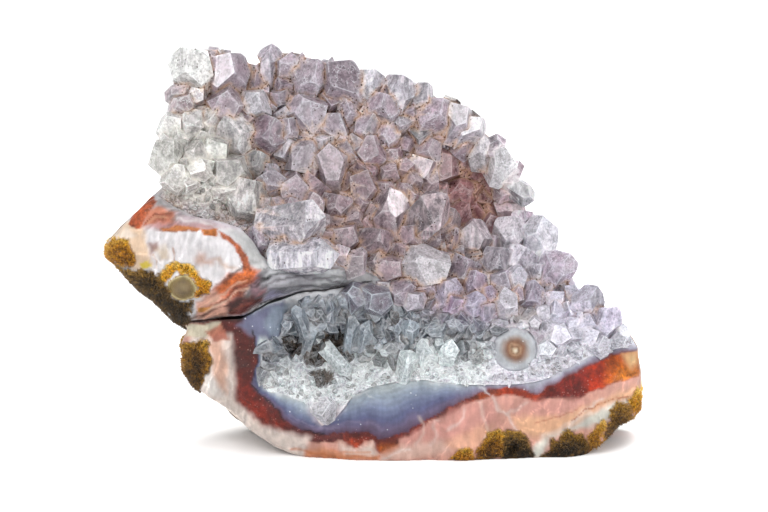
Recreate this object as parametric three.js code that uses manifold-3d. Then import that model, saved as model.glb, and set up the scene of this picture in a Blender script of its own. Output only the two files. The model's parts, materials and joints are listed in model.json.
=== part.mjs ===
// A broken geode fragment: banded agate with a brown rind, lined with a druse of quartz crystals.
// Millimetres, +X right, +Y away from the viewer, +Z up. The origin is on the plane that the
// stone rests on, under the middle of its bounding box.
import * as THREE from 'three';
import Module from 'manifold-3d';
import { mergeVertices } from 'three/addons/utils/BufferGeometryUtils.js';
import { ConvexGeometry } from 'three/addons/geometries/ConvexGeometry.js';

// Driving dimensions
const PART_WIDTH = 100.5;         // overall width in x
const BOX_MIDDLE = [0.85, -0.65]; // middle of the stone in x and y, moved to the origin
const CRUST_THICKNESS = 5;        // quartz under the crystals' points
const CRUST_INSET = 1;            // the bare crust behind the outline's crystals
const PIECE_GAP = 0.35;           // between the rock and the crystal crust
const RIM_RADIUS = 4;             // rounding of the front towards the outline
const RIM_ROUNDING = 0.5;         // share of a full quarter round there
const BACK_RADIUS = 17;           // rounding of the rind side towards the outline
const BACK_ROUNDING = 0.62;       // share of a full quarter round there
const RIM_THICKNESS = 1.6;        // least thickness at the outline
const BLOCK_BACK_Y = -6;          // where the upper left block ends inside the rock
const CRACK_DEPTH_Y = -13;        // where the crack between the two blocks ends
const LARGE_RIND_LUMP = 1.1;      // height of the rind's lumps
const SMALL_RIND_LUMP = 0.5;
const CRYSTAL_WIDTH = 4.8;        // a usual crystal, across its prism
const ROOT_DEPTH = 2.4;           // how far a crystal reaches under the crust's surface

// Mesh cells
const ROCK_STEP = 4.4;            // rock surface
const CRUST_STEP = 8;             // surface between rock and crust
const STEP_SHIFT = 0.3;           // unevenness of the cells, of their size
const MERGE_DISTANCE = 1e-4;      // corners closer than this are one
const FRONT_SOFTNESS = 4;         // smoothness of the depth surfaces
const BACK_SOFTNESS = 8;
const REACH_Y = 60;               // half depth of the cutting solids
const SHEET_SIZE = 118;           // side of the square sheets that the outlines are cut from
const GROUND_SIZE = 300;          // side of the block that cuts the base flat

// The viewing frame: picture coordinates are pixels of a 768 x 512 frame
const PICTURE_WIDTH = 768;
const PICTURE_HEIGHT = 512;
const OUTLINE_WIDTH_PX = 536;
const MM_PER_PX = PART_WIDTH / OUTLINE_WIDTH_PX;
const VIEW_DISTANCE = 400;
const VIEW_ELEVATION = THREE.MathUtils.degToRad(8);
const AIM = new THREE.Vector3(2, 0, 34);
const SIGHT = new THREE.Vector3(0, -Math.cos(VIEW_ELEVATION), Math.sin(VIEW_ELEVATION));
const PICTURE_UP = new THREE.Vector3(0, Math.sin(VIEW_ELEVATION), Math.cos(VIEW_ELEVATION));

// The stone's outline, clockwise from its top left corner. Below the base it runs on past the
// resting plane, which cuts it flat.
const OUTLINE_PX = [
  [180, 51], [208, 50], [213, 55], [222, 50], [240, 55], [259, 59], [268, 49], [284, 53],
  [295, 52], [320, 61], [345, 67], [360, 76], [385, 80], [415, 82], [437, 99], [460, 107],
  [475, 120], [485, 133], [500, 146], [511, 156], [515, 172], [528, 193], [525, 203],
  [515, 212], [531, 223], [544, 222], [551, 245], [568, 263], [571, 277], [582, 294],
  [600, 302], [620, 320], [637, 347], [641, 380], [640, 408], [632, 418], [618, 423],
  [605, 438], [590, 451], [580, 470], [570, 540], [330, 540], [318, 480], [300, 457],
  [275, 447], [250, 430], [225, 407], [196, 388], [183, 369], [182, 342], [188, 328],
  [172, 318], [158, 303], [138, 287], [118, 267], [106, 255], [106, 243], [130, 222],
  [148, 200], [163, 187], [160, 150], [163, 125], [170, 100], [176, 75],
];

// Front surface: picture place and depth y in mm, negative towards the viewer
const FRONT_POINTS = [
  [300, 455, -20], [380, 463, -22], [460, 457, -22], [520, 457, -20], [590, 450, -18],
  [640, 400, -12], [637, 350, -12], [250, 380, -21], [225, 400, -19], [300, 400, -22],
  [380, 420, -23], [450, 400, -22], [550, 400, -20], [600, 380, -17], [300, 345, -15],
  [350, 340, -13], [400, 350, -18], [450, 340, -18], [514, 350, -19], [580, 330, -15],
  [620, 335, -11], [300, 305, -16], [350, 295, -14], [400, 300, -13], [450, 300, -14],
  [500, 290, -12], [560, 290, -8], [450, 245, -5], [500, 235, 0], [540, 235, 0],
  [470, 200, 6], [500, 215, 6], [450, 175, 5], [485, 180, 6], [500, 155, 0], [480, 130, 0],
  [522, 190, 1], [440, 120, 0], [400, 130, -1], [350, 100, 0], [300, 80, 0], [270, 60, 2],
  [220, 70, -1], [190, 65, -3], [175, 120, -8], [175, 175, -13], [200, 190, -14],
  [250, 150, -5], [300, 150, -4], [350, 180, -4], [400, 200, -6], [350, 220, -8],
  [420, 215, -9], [300, 250, -17], [325, 268, -18], [420, 265, -12], [240, 240, -16],
  [200, 340, -17], [260, 330, -18], [190, 370, -17], [250, 205, -9],
];

// Back surface, in the same form
const BACK_POINTS = [
  [200, 90, 9], [300, 100, 13], [400, 120, 14], [480, 160, 13], [200, 170, 7], [300, 180, 16],
  [400, 190, 19], [500, 220, 14], [130, 240, -3], [200, 260, 6], [300, 270, 20],
  [400, 270, 22], [500, 290, 20], [590, 330, 12], [250, 350, 15], [350, 360, 23],
  [450, 370, 24], [550, 370, 19], [620, 380, 8], [300, 440, 19], [400, 450, 23],
  [500, 450, 22], [580, 450, 15], [220, 400, 6],
];

// The upper left block stands forward of the crystals, with a broken face of its own
const BLOCK_PX = [
  [131, 217], [146, 203], [158, 196], [176, 208], [196, 217], [222, 222], [240, 228],
  [252, 240], [262, 256], [280, 268], [300, 274], [330, 272], [346, 277], [340, 285],
  [300, 289], [278, 295], [262, 302], [250, 309], [238, 316], [214, 318], [186, 322],
  [172, 317], [158, 302], [138, 286], [118, 266], [107, 255], [107, 243],
];
const BLOCK_FRONT_POINTS = [
  [110, 245, -15], [125, 262, -17], [150, 215, -17], [160, 200, -15], [200, 220, -20],
  [200, 245, -22], [240, 240, -20], [240, 270, -22], [190, 285, -22], [150, 280, -19],
  [185, 318, -19], [235, 300, -20], [262, 280, -20], [320, 280, -18], [225, 315, -18],
];

// The crack between the two blocks
const CRACK_PX = [
  [176, 319.5], [215, 317.5], [224, 315.5], [244, 314.5], [256, 308], [267, 300.5],
  [278, 296], [300, 289.5], [330, 287], [352, 283.5], [372, 279], [373, 281.5],
  [352, 288], [330, 291.5], [300, 295], [296, 303], [281, 304], [268, 306], [256, 313],
  [240, 322], [224, 322], [215, 321.5], [178, 326.5],
];

// Where crystals line the rock: past the outline above, down to the chalcedony band below
const CRUST_PX = [
  [150, 183], [140, 120], [160, 30], [300, 30], [420, 60], [540, 130], [560, 205],
  [650, 300], [665, 340], [640, 351], [615, 353], [597, 360], [572, 371], [550, 382],
  [520, 385], [475, 387], [440, 385], [412, 383], [380, 386], [350, 397], [325, 405],
  [298, 404], [272, 395], [262, 372], [263, 345], [284, 333], [284, 314], [304, 300],
  [335, 296], [362, 290], [385, 280], [362, 270], [345, 270], [325, 264], [298, 267],
  [276, 262], [262, 246], [248, 228], [228, 218], [198, 212], [176, 202], [162, 191],
];

// Lumps and hollows of the front: picture place, radius and height in mm
const LUMPS = [
  [118, 252, 3.2, 1.2], [182, 287, 3.4, 1.2], [198, 360, 3.2, 0.9], [507, 452, 5, 0.8],
  [507, 449, 2, -1], [568, 453, 5, 1.4], [620, 410, 2.6, 1], [600, 435, 3, 0.7],
  [462, 452, 3, 0.8], [300, 340, 4.5, -2], [322, 366, 3.5, -1.6], [380, 300, 5, 1],
  [515, 349, 4.4, 0.8], [425, 365, 5, 1], [300, 425, 6, 0.8], [400, 440, 7, 0.8],
  [330, 278, 3, 0.8], [212, 255, 6, 0.7],
];

// Single crystals: picture place, width in mm, the way the point leans in the picture
// (degrees from the right, anticlockwise), its tilt from the line of sight, and its length
const CRYSTALS = [
  [193, 68, 7.2, 95, 38, 2.6], [225, 77, 7.4, 80, 45, 3.2], [226, 110, 6.6, 75, 35, 2.8],
  [256, 107, 5.0, 330, 30, 2.6], [237, 135, 6.2, 120, 40, 2.8], [269, 135, 6.2, 60, 45, 2.8],
  [304, 158, 6.0, 235, 40, 2.6], [330, 163, 6.4, 90, 45, 3.2], [309, 116, 6.6, 20, 45, 2.8],
  [270, 64, 4.6, 85, 65, 2.8], [288, 66, 4.2, 80, 55, 2.2], [312, 79, 5.6, 70, 45, 2.8],
  [342, 84, 7.0, 120, 50, 3.0], [369, 88, 5.0, 75, 55, 2.8], [254, 166, 4.4, 60, 45, 2.8],
  [228, 171, 5.6, 130, 35, 2.8], [247, 197, 7.0, 60, 40, 3.2], [292, 224, 6.6, 8, 62, 7.0],
  [306, 256, 5.6, 2, 75, 7.0], [335, 207, 4.8, 80, 40, 3.0], [292, 190, 5.4, 80, 40, 2.2],
  [270, 186, 4.8, 130, 40, 2.2], [312, 190, 4.8, 40, 40, 2.2], [287, 131, 4.4, 75, 40, 2.2],
  [385, 110, 6.0, 80, 40, 2.8], [351, 111, 5.4, 100, 40, 2.2], [370, 126, 5.2, 60, 40, 2.2],
  [332, 127, 5.6, 120, 40, 2.2], [386, 131, 5.0, 80, 40, 2.2], [365, 190, 5.6, 80, 45, 2.8],
  [391, 216, 5.8, 95, 60, 5.0], [424, 218, 6.8, 42, 60, 5.0], [427, 152, 4.8, 60, 40, 2.8],
  [444, 165, 6.4, 200, 40, 2.8], [432, 115, 6.4, 60, 45, 2.8], [456, 121, 5.2, 50, 55, 2.8],
  [500, 162, 4.8, 75, 50, 3.0], [481, 151, 4.0, 100, 45, 2.4], [519, 192, 3.6, 325, 70, 3.0],
  [472, 241, 6.2, 100, 40, 2.8], [508, 237, 6.2, 80, 50, 3.2], [538, 240, 6.0, 75, 55, 3.4],
  [497, 263, 5.4, 80, 40, 2.8], [518, 262, 5.0, 60, 40, 2.6], [424, 267, 7.2, 12, 50, 3.6],
  [556, 270, 5.6, 60, 55, 3.0], [474, 305, 3.6, 45, 40, 2.2], [505, 307, 4.2, 95, 60, 3.6],
  [460, 191, 4.6, 200, 40, 2.2], [585, 303, 4.6, 60, 60, 2.2], [605, 318, 4.6, 50, 60, 2.2],
  [412, 240, 5.0, 80, 45, 2.2], [375, 245, 5.6, 70, 45, 2.8], [345, 240, 5.0, 60, 45, 2.2],
  [400, 95, 5.4, 80, 50, 2.8], [420, 100, 4.6, 60, 50, 2.2], [470, 131, 4.4, 50, 50, 2.4],
];

// Crystals scattered over the rest of the crust, inside a picture window
const SCATTER_WINDOW_PX = { left: 140, right: 660, top: 40, bottom: 420 };
const SCATTER_TRIES = 5200;
const SCATTER_SEED = 20261;
const SCATTER_SPACING = 0.95;     // centre distance over mean width
const SCATTER_TILT = 0.42;        // sideways lean of a crystal's axis
const SCATTER_LENGTH = [0.15, 0.5]; // shortest and longest prism, of the width
const SCATTER_WIDTH = [0.8, 1.4]; // narrowest and widest, of the usual width
const CRUST_EDGE_ROOM = 1.3;      // from a crystal's middle to the crust's edge
const OUTLINE_ROOM = 0.3;         // from a crystal's middle to the outline, of its width
const NORMAL_REACH = 2.5;         // over which the surface's slope is taken
const BROKEN_CRYSTAL_SHARE = 0.88; // size of crystals in the broken quartz zones
const BROKEN_ZONES_PX = [
  [[150, 118], [215, 120], [262, 150], [262, 215], [200, 216], [150, 200]],
  [[262, 300], [375, 286], [420, 320], [500, 330], [640, 335], [640, 360], [262, 410]],
];

// Crystal shape, as shares of the width
const PRISM_SIDES = 6;
const POINT_HEIGHT = 0.62;        // from the prism's end to the apex
const APEX_SHIFT = 0.12;          // the apex beside the axis
const SIDE_SPREAD = 0.12;         // unevenness of the prism's sides

const wasm = await Module();
wasm.setup();

// Seeded random numbers
let randomState = SCATTER_SEED;
function random() {
  randomState = (randomState * 1664525 + 1013904223) % 4294967296;
  return randomState / 4294967296;
}

function spread(amount) {
  return (2 * random() - 1) * amount;
}

// The point of the picture place (u, v), in mm from the picture's centre, at depth y
function placeAt(u, v, y, target = new THREE.Vector3()) {
  const sine = Math.sin(VIEW_ELEVATION);
  const cosine = Math.cos(VIEW_ELEVATION);
  const away = (y - v * sine) / (cosine + v * sine / VIEW_DISTANCE);
  const scale = 1 + away / VIEW_DISTANCE;
  return target.set(AIM.x + scale * u, y, AIM.z - away * sine + scale * v * cosine);
}

function toPlane([px, py]) {
  return [(px - PICTURE_WIDTH / 2) * MM_PER_PX, (PICTURE_HEIGHT / 2 - py) * MM_PER_PX];
}

// Smooth surface through scattered depth points
function depthField(points, softness = FRONT_SOFTNESS) {
  const sites = points.map(([px, py, depth]) => [...toPlane([px, py]), depth]);
  return (u, v) => {
    let total = 0;
    let weights = 0;
    for (const [siteU, siteV, depth] of sites) {
      const square = (u - siteU) ** 2 + (v - siteV) ** 2 + softness ** 2;
      const weight = 1 / square ** 2;
      total += weight * depth;
      weights += weight;
    }
    return total / weights;
  };
}

// Distance from a place to a closed outline, positive inside
function insideDistance(outline, u, v) {
  let inside = false;
  let nearest = Infinity;
  for (let i = 0, j = outline.length - 1; i < outline.length; j = i++) {
    const [au, av] = outline[j];
    const [bu, bv] = outline[i];
    if ((av > v) !== (bv > v) && u < (bu - au) * (v - av) / (bv - av) + au) inside = !inside;
    const length = (bu - au) ** 2 + (bv - av) ** 2;
    const along = THREE.MathUtils.clamp(
      ((u - au) * (bu - au) + (v - av) * (bv - av)) / length, 0, 1);
    nearest = Math.min(nearest, Math.hypot(u - au - along * (bu - au), v - av - along * (bv - av)));
  }
  return inside ? nearest : -nearest;
}

// An outline moved outwards by a distance
function grown(outline, distance) {
  return outline.map((point, i) => {
    const before = outline[(i + outline.length - 1) % outline.length];
    const after = outline[(i + 1) % outline.length];
    const along = [after[0] - before[0], after[1] - before[1]];
    const length = Math.hypot(...along);
    return [point[0] - along[1] / length * distance, point[1] + along[0] / length * distance];
  });
}

// A quarter round of the given radius, by distance from the edge
function edgeRound(distance, radius) {
  const left = THREE.MathUtils.clamp(1 - distance / radius, 0, 1);
  return radius * (1 - Math.sqrt(1 - left * left));
}

// Rough lumps of the rind
function rindLumps(u, v) {
  const large = Math.sin(0.47 * u + 1.7 * Math.sin(0.29 * v)) * Math.sin(0.41 * v + 0.8);
  const small = Math.sin(1.31 * u + 0.7 * v) * Math.sin(1.13 * v - 0.5 * u + 2);
  return LARGE_RIND_LUMP * large + SMALL_RIND_LUMP * small;
}

const outline = OUTLINE_PX.map(toPlane);
const blockOutline = BLOCK_PX.map(toPlane);
const crustOutline = CRUST_PX.map(toPlane);
const crackOutline = CRACK_PX.map(toPlane);
const brokenZones = BROKEN_ZONES_PX.map((zone) => zone.map(toPlane));
const lumps = LUMPS.map(([px, py, radius, height]) => [...toPlane([px, py]), radius, height]);
const frontField = depthField(FRONT_POINTS);
const backField = depthField(BACK_POINTS, BACK_SOFTNESS);
const blockField = depthField(BLOCK_FRONT_POINTS);

function lumpHeight(u, v) {
  let height = 0;
  for (const [lumpU, lumpV, radius, rise] of lumps) {
    const away = Math.hypot(u - lumpU, v - lumpV) / radius;
    if (away < 1) height += rise * (1 - away * away) ** 2;
  }
  return height;
}

function backDepth(u, v) {
  const edge = insideDistance(outline, u, v);
  const depth = backField(u, v) - edgeRound(edge, BACK_RADIUS) * BACK_ROUNDING + rindLumps(u, v);
  return Math.max(depth, frontDepth(u, v) + RIM_THICKNESS);
}

function frontDepth(u, v) {
  const edge = insideDistance(outline, u, v);
  return frontField(u, v) + edgeRound(edge, RIM_RADIUS) * RIM_ROUNDING - lumpHeight(u, v);
}

function blockDepth(u, v) {
  const edge = insideDistance(blockOutline, u, v);
  return blockField(u, v) + edgeRound(edge, RIM_RADIUS / 2) - lumpHeight(u, v);
}

function crustFloor(u, v) {
  return frontField(u, v) + CRUST_THICKNESS;
}

function solidFrom(geometry) {
  const bare = geometry.clone();
  bare.deleteAttribute('normal');
  bare.deleteAttribute('uv');
  const merged = mergeVertices(bare, MERGE_DISTANCE);
  return new wasm.Manifold(new wasm.Mesh({
    numProp: 3,
    vertProperties: Float32Array.from(merged.attributes.position.array),
    triVerts: Uint32Array.from(merged.index.array),
  }));
}

function moveVertices(geometry, place) {
  const position = geometry.attributes.position;
  const point = new THREE.Vector3();
  for (let i = 0; i < position.count; i++) {
    place(point.fromBufferAttribute(position, i));
    position.setXYZ(i, point.x, point.y, point.z);
  }
  return geometry;
}

// A sheet over the whole stone between two depth surfaces
function slab(front, back, step) {
  const cells = Math.round(SHEET_SIZE / step);
  const geometry = new THREE.BoxGeometry(SHEET_SIZE, SHEET_SIZE, 1, cells, cells, 1);
  return solidFrom(moveVertices(geometry, (point) => {
    const u = point.x + STEP_SHIFT * step * Math.sin(2.3 * point.x + 1.9 * point.y);
    const v = point.y + STEP_SHIFT * step * Math.sin(3.1 * point.y - 2.7 * point.x);
    placeAt(u, v, point.z > 0 ? front(u, v) : back(u, v), point);
  }));
}

// Everything that the viewer sees inside an outline, between two flat depths
function sightPrism(edge, nearY = -REACH_Y, farY = REACH_Y) {
  const shape = new THREE.Shape(edge.map(([u, v]) => new THREE.Vector2(u, v)));
  const geometry = new THREE.ExtrudeGeometry(shape, { depth: 1, bevelEnabled: false });
  return solidFrom(moveVertices(geometry, (point) => {
    placeAt(point.x, point.y, point.z > 0.5 ? nearY : farY, point);
  }));
}

function groundCut() {
  const geometry = new THREE.BoxGeometry(GROUND_SIZE, GROUND_SIZE, GROUND_SIZE);
  geometry.translate(0, 0, -GROUND_SIZE / 2);
  return solidFrom(geometry);
}

function inFrontOf(surface, edge) {
  return slab(() => -REACH_Y, surface, CRUST_STEP).intersect(sightPrism(edge));
}

// The rock without its crack, thickened by a margin
function rockBody(margin) {
  const body = slab((u, v) => frontDepth(u, v) - margin, (u, v) => backDepth(u, v) + margin, ROCK_STEP)
    .intersect(sightPrism(grown(outline, margin)));
  const block = slab((u, v) => blockDepth(u, v) - margin, () => BLOCK_BACK_Y, ROCK_STEP)
    .intersect(sightPrism(grown(blockOutline, margin)));
  const pocketEdge = grown(crustOutline, margin ? 0 : PIECE_GAP);
  const pocketGap = margin ? 0 : PIECE_GAP;
  const pocket = inFrontOf((u, v) => crustFloor(u, v) + pocketGap, pocketEdge);
  return body.subtract(pocket).add(block).subtract(groundCut());
}

function makeRock() {
  return rockBody(0).subtract(sightPrism(crackOutline, -REACH_Y, CRACK_DEPTH_Y));
}

// Corners of a quartz crystal along +Z: a six-sided prism with a six-faced point
function crystalCorners(width, length) {
  const corners = [new THREE.Vector3(spread(APEX_SHIFT), spread(APEX_SHIFT), POINT_HEIGHT)
    .multiplyScalar(width).setZ(length + POINT_HEIGHT * width)];
  for (let i = 0; i < PRISM_SIDES; i++) {
    const angle = i * Math.PI * 2 / PRISM_SIDES;
    const radius = width / 2 * (1 + spread(SIDE_SPREAD));
    corners.push(new THREE.Vector3(Math.cos(angle) * radius, Math.sin(angle) * radius, 0));
    corners.push(corners.at(-1).clone().setZ(length));
  }
  return corners;
}

function makeCrystal(root, axis, width, length) {
  const turn = new THREE.Quaternion().setFromUnitVectors(new THREE.Vector3(0, 0, 1), axis);
  const roll = random() * Math.PI;
  const corners = crystalCorners(width, length).map((corner) =>
    corner.applyAxisAngle(new THREE.Vector3(0, 0, 1), roll).applyQuaternion(turn).add(root));
  return solidFrom(new ConvexGeometry(corners));
}

function surfaceNormal(u, v) {
  const at = (du, dv) => placeAt(u + du, v + dv, frontField(u + du, v + dv));
  const right = at(NORMAL_REACH, 0).sub(at(-NORMAL_REACH, 0));
  const up = at(0, NORMAL_REACH).sub(at(0, -NORMAL_REACH));
  return right.cross(up).normalize();
}

// Crystals placed one by one
function chosenCrystals() {
  return CRYSTALS.map(([px, py, width, lean, tilt, length]) => {
    const [u, v] = toPlane([px, py]);
    const leanAngle = THREE.MathUtils.degToRad(lean);
    const tiltAngle = THREE.MathUtils.degToRad(tilt);
    const axis = SIGHT.clone().multiplyScalar(Math.cos(tiltAngle))
      .addScaledVector(PICTURE_UP, Math.sin(tiltAngle) * Math.sin(leanAngle))
      .addScaledVector(new THREE.Vector3(1, 0, 0), Math.sin(tiltAngle) * Math.cos(leanAngle));
    return { u, v, width, length, axis };
  });
}

function between([low, high]) {
  return low + (high - low) * random();
}

// Adds crystals where there is room between those already placed
function scatteredCrystals(placed) {
  randomState = SCATTER_SEED;
  const { left, right, top, bottom } = SCATTER_WINDOW_PX;
  for (let i = 0; i < SCATTER_TRIES; i++) {
    const [u, v] = toPlane([between([left, right]), between([top, bottom])]);
    const broken = brokenZones.some((zone) => insideDistance(zone, u, v) > 0);
    const width = CRYSTAL_WIDTH * between(SCATTER_WIDTH) * (broken ? BROKEN_CRYSTAL_SHARE : 1);
    const length = width * between(SCATTER_LENGTH);
    const lean = new THREE.Vector3(spread(SCATTER_TILT), spread(SCATTER_TILT), spread(SCATTER_TILT));
    const inCrust = insideDistance(crustOutline, u, v) > CRUST_EDGE_ROOM;
    const inStone = insideDistance(outline, u, v) > OUTLINE_ROOM * width;
    const clear = placed.every((other) =>
      Math.hypot(u - other.u, v - other.v) > SCATTER_SPACING * (width + other.width) / 2);
    if (!inCrust || !inStone || !clear) continue;
    placed.push({ u, v, width, length, axis: surfaceNormal(u, v).add(lean).normalize() });
  }
  return placed;
}

// A crystal whose visible part is centred on its picture place
function plantCrystal({ u, v, width, length, axis }) {
  const aside = axis.clone().multiplyScalar(-length / 2);
  aside.addScaledVector(SIGHT, -aside.dot(SIGHT));
  const root = placeAt(u, v, frontField(u, v)).add(aside).addScaledVector(axis, -ROOT_DEPTH);
  return makeCrystal(root, axis, width, length + ROOT_DEPTH);
}

function makeCrust() {
  const bed = slab(frontField, crustFloor, CRUST_STEP)
    .intersect(sightPrism(grown(outline, -CRUST_INSET)))
    .intersect(sightPrism(crustOutline));
  return scatteredCrystals(chosenCrystals())
    .map(plantCrystal)
    .reduce((crust, crystal) => crust.add(crystal), bed)
    .subtract(rockBody(PIECE_GAP));
}

// The triangles of the largest connected skin, without the small voids between crystals
function outerSkin(triangles, vertexCount) {
  const parent = Array.from({ length: vertexCount }, (_, i) => i);
  const find = (i) => {
    while (parent[i] !== i) i = parent[i] = parent[parent[i]];
    return i;
  };
  for (let i = 0; i < triangles.length; i += 3) {
    parent[find(triangles[i])] = find(triangles[i + 1]);
    parent[find(triangles[i + 1])] = find(triangles[i + 2]);
  }
  const sizes = new Map();
  for (const corner of triangles) sizes.set(find(corner), (sizes.get(find(corner)) ?? 0) + 1);
  const largest = [...sizes.entries()].sort((a, b) => b[1] - a[1])[0][0];
  return triangles.filter((_, i) => find(triangles[3 * Math.floor(i / 3)]) === largest);
}

function meshFrom(solid, name, material) {
  const mesh = solid.getMesh();
  const vertProperties = mesh.vertProperties;
  const triVerts = outerSkin(mesh.triVerts, vertProperties.length / 3);
  const geometry = new THREE.BufferGeometry();
  geometry.setAttribute('position', new THREE.BufferAttribute(vertProperties, 3));
  geometry.setIndex(new THREE.BufferAttribute(triVerts, 1));
  geometry.computeVertexNormals();
  const piece = new THREE.Mesh(geometry, material);
  piece.name = name;
  return piece;
}

function rockMaterial() {
  return new THREE.MeshStandardMaterial({ color: 0xd9967f, roughness: 0.55, metalness: 0 });
}

function quartzMaterial() {
  return new THREE.MeshStandardMaterial({ color: 0xc4b9c8, roughness: 0.15, metalness: 0 });
}

const stone = new THREE.Group();
stone.position.set(-BOX_MIDDLE[0], -BOX_MIDDLE[1], 0);
stone.add(meshFrom(makeRock(), 'agate_matrix', rockMaterial()));
stone.add(meshFrom(makeCrust(), 'quartz_druse', quartzMaterial()));

export default stone;
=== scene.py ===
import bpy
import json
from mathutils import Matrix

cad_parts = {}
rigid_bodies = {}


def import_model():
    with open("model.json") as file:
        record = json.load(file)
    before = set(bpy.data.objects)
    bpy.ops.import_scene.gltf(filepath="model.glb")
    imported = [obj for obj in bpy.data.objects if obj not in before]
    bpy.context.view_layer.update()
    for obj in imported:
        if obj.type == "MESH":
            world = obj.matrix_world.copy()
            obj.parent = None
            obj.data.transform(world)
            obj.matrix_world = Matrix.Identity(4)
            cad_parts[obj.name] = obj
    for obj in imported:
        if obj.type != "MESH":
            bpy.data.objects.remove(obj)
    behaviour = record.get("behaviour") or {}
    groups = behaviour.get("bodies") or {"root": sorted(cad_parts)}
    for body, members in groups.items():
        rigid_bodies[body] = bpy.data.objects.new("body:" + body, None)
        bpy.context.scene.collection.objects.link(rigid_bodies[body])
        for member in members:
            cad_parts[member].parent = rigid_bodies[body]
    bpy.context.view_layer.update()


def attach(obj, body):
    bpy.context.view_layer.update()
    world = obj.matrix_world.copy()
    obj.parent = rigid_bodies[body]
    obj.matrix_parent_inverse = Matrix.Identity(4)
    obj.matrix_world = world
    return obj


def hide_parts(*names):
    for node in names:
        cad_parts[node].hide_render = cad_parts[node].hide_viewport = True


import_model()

# A broken geode fragment: a druse of quartz crystals on banded agate under a mossy rind.
# Lengths are in millimetres up to the last step, which writes each mesh in metres.
import json
import math

import bpy
import numpy as np
from mathutils import Quaternion, Vector
from mathutils.kdtree import KDTree

# The stone
MM = 0.001
TINY = 1e-9
PART_WIDTH = 100.5
BOX_MIDDLE = np.array([0.85, -0.65, 0.0])
PLAIN_WALL = 1.5            # quartz between the crystals' feet and the rock
WALL_EDGE = 1.2             # how far from its edge it is whole
FRONT_SOFTNESS = 4.0        # reach in mm of each point of the front surface
BACK_SOFTNESS = 8.0         # and of the back surface
RIM_RADIUS = 4.0            # the front's edge is rounded over this distance
RIM_ROUNDING = 0.5          # by this share of a quarter circle
BACK_RADIUS = 17.0          # and the back's edge over this one
BACK_ROUNDING = 0.62
RIM_THICKNESS = 1.6         # least depth of the rock at its rim
BLOCK_BACK_Y = -6.0         # depth where the upper block ends, inside the rock
CRACK_DEPTH_Y = -13.0       # depth that the crack reaches
LARGE_RIND_LUMP = 1.1       # heights of the back's lumps
SMALL_RIND_LUMP = 0.5
REACH_Y = 60.0              # depth past the stone, before and behind it
SHEET_SIZE = 118.0          # side of the sheets that the stone is cut from
GROUND_REACH = 150.0
BOX_FACES = [(0, 1, 3, 2), (2, 3, 7, 6), (6, 7, 5, 4), (4, 5, 1, 0), (2, 6, 4, 0), (7, 3, 1, 5)]

# The picture frame: 768 x 512 pixels, seen from 8 degrees above the table
PICTURE_WIDTH = 768
PICTURE_HEIGHT = 512
OUTLINE_WIDTH_PX = 536
MM_PER_PX = PART_WIDTH / OUTLINE_WIDTH_PX
VIEW_DISTANCE = 400.0
VIEW_ELEVATION = math.radians(8)
LENS = 100.0
SENSOR = 36.0
SINE = math.sin(VIEW_ELEVATION)
COSINE = math.cos(VIEW_ELEVATION)
AIM = np.array([2.0, 0.0, 34.0])
SIGHT = Vector((0, -COSINE, SINE))
PICTURE_UP = Vector((0, SINE, COSINE))
PICTURE_RIGHT = Vector((1, 0, 0))

# Studio, in metres and watts: lamps with their place, size and power
LIGHTS = [
    ("key", (-0.3, -0.5, 0.5), (0.3, 0.3), 1.8),
    ("fill", (0.5, -0.4, 0.25), (0.15, 0.35), 0.6),
    ("back", (0.15, 0.5, 0.5), (0.5, 0.3), 4.5),
]
LIGHT_AIM = (0, 0, 0.035)
STUDIO_GLOW = [
    (0.0, (1.1, 1.1, 1.1)), (0.16, (1.1, 1.1, 1.1)), (0.26, (0.45, 0.46, 0.48)),
    (0.5, (0.5, 0.5, 0.52)), (0.62, (1.2, 1.2, 1.2)), (0.9, (1.35, 1.35, 1.35)),
]
STUDIO_CELLS = 3.0
STUDIO_TONES = (0.4, 0.8)   # random values of the darkest and the brightest patch
STUDIO_PATCHES = (0.35, 1.9)  # and their light
STUDIO_HORIZON = (0.16, 0.26)  # heights between which the patches come in
FLOOR_SIZE = 6.0
FLOOR_COLOR = (0.96, 0.96, 0.96, 1)
FLOOR_ROUGHNESS = 0.8

# Small lamps whose reflections make the crystals sparkle
SPARK_PLACES = [(-0.45, -0.35, 0.2), (-0.1, -0.6, 0.45), (0.25, -0.55, 0.4), (0.5, -0.2, 0.35),
                (0.0, -0.35, 0.65), (-0.4, 0.05, 0.5)]
SPARK_SIZE = (0.11, 0.11)
SPARK_POWER = 0.34

# Mesh detail
ROCK_STEP = 0.6
ROCK_VOXEL = 0.33
ROCK_KEPT = 0.4            # share of the faces left after thinning the hidden ones
HIDDEN_DEPTH = 1.5          # distance inside the crust's edge where they are hidden
HIDDEN_NORMAL = 0.1         # how far back the hidden faces at the back look, at least
HIDDEN_WEIGHT = 10
CRUST_STEP = 2.0            # grid of the quartz skin; ROCK_STEP is the rock's
CORNER_MERGE = 0.1          # shorter edges of a crystal close up
LARGEST_GIRTH = 0.75        # reach of a crystal's corners from its axis, of its width
LARGEST_RISE = 0.8          # and past the length of its sides
SHARP_TURN = 0.985          # cosine between the faces at a sharp edge
SMALLEST_INRADIUS = 0.06    # of the facets that get a middle point
SAMPLE_SPACING = 0.15       # of the points that stand for a seam or an edge
MARK_REACH = 1.5            # largest distance from one that a material reads
PARALLEL = 1e-3             # determinant below which three planes have no common corner
ON_PLANE = 1e-6
ASKEW = (0.3, 0.5, 0.8)     # a direction that no face is square to

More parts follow.
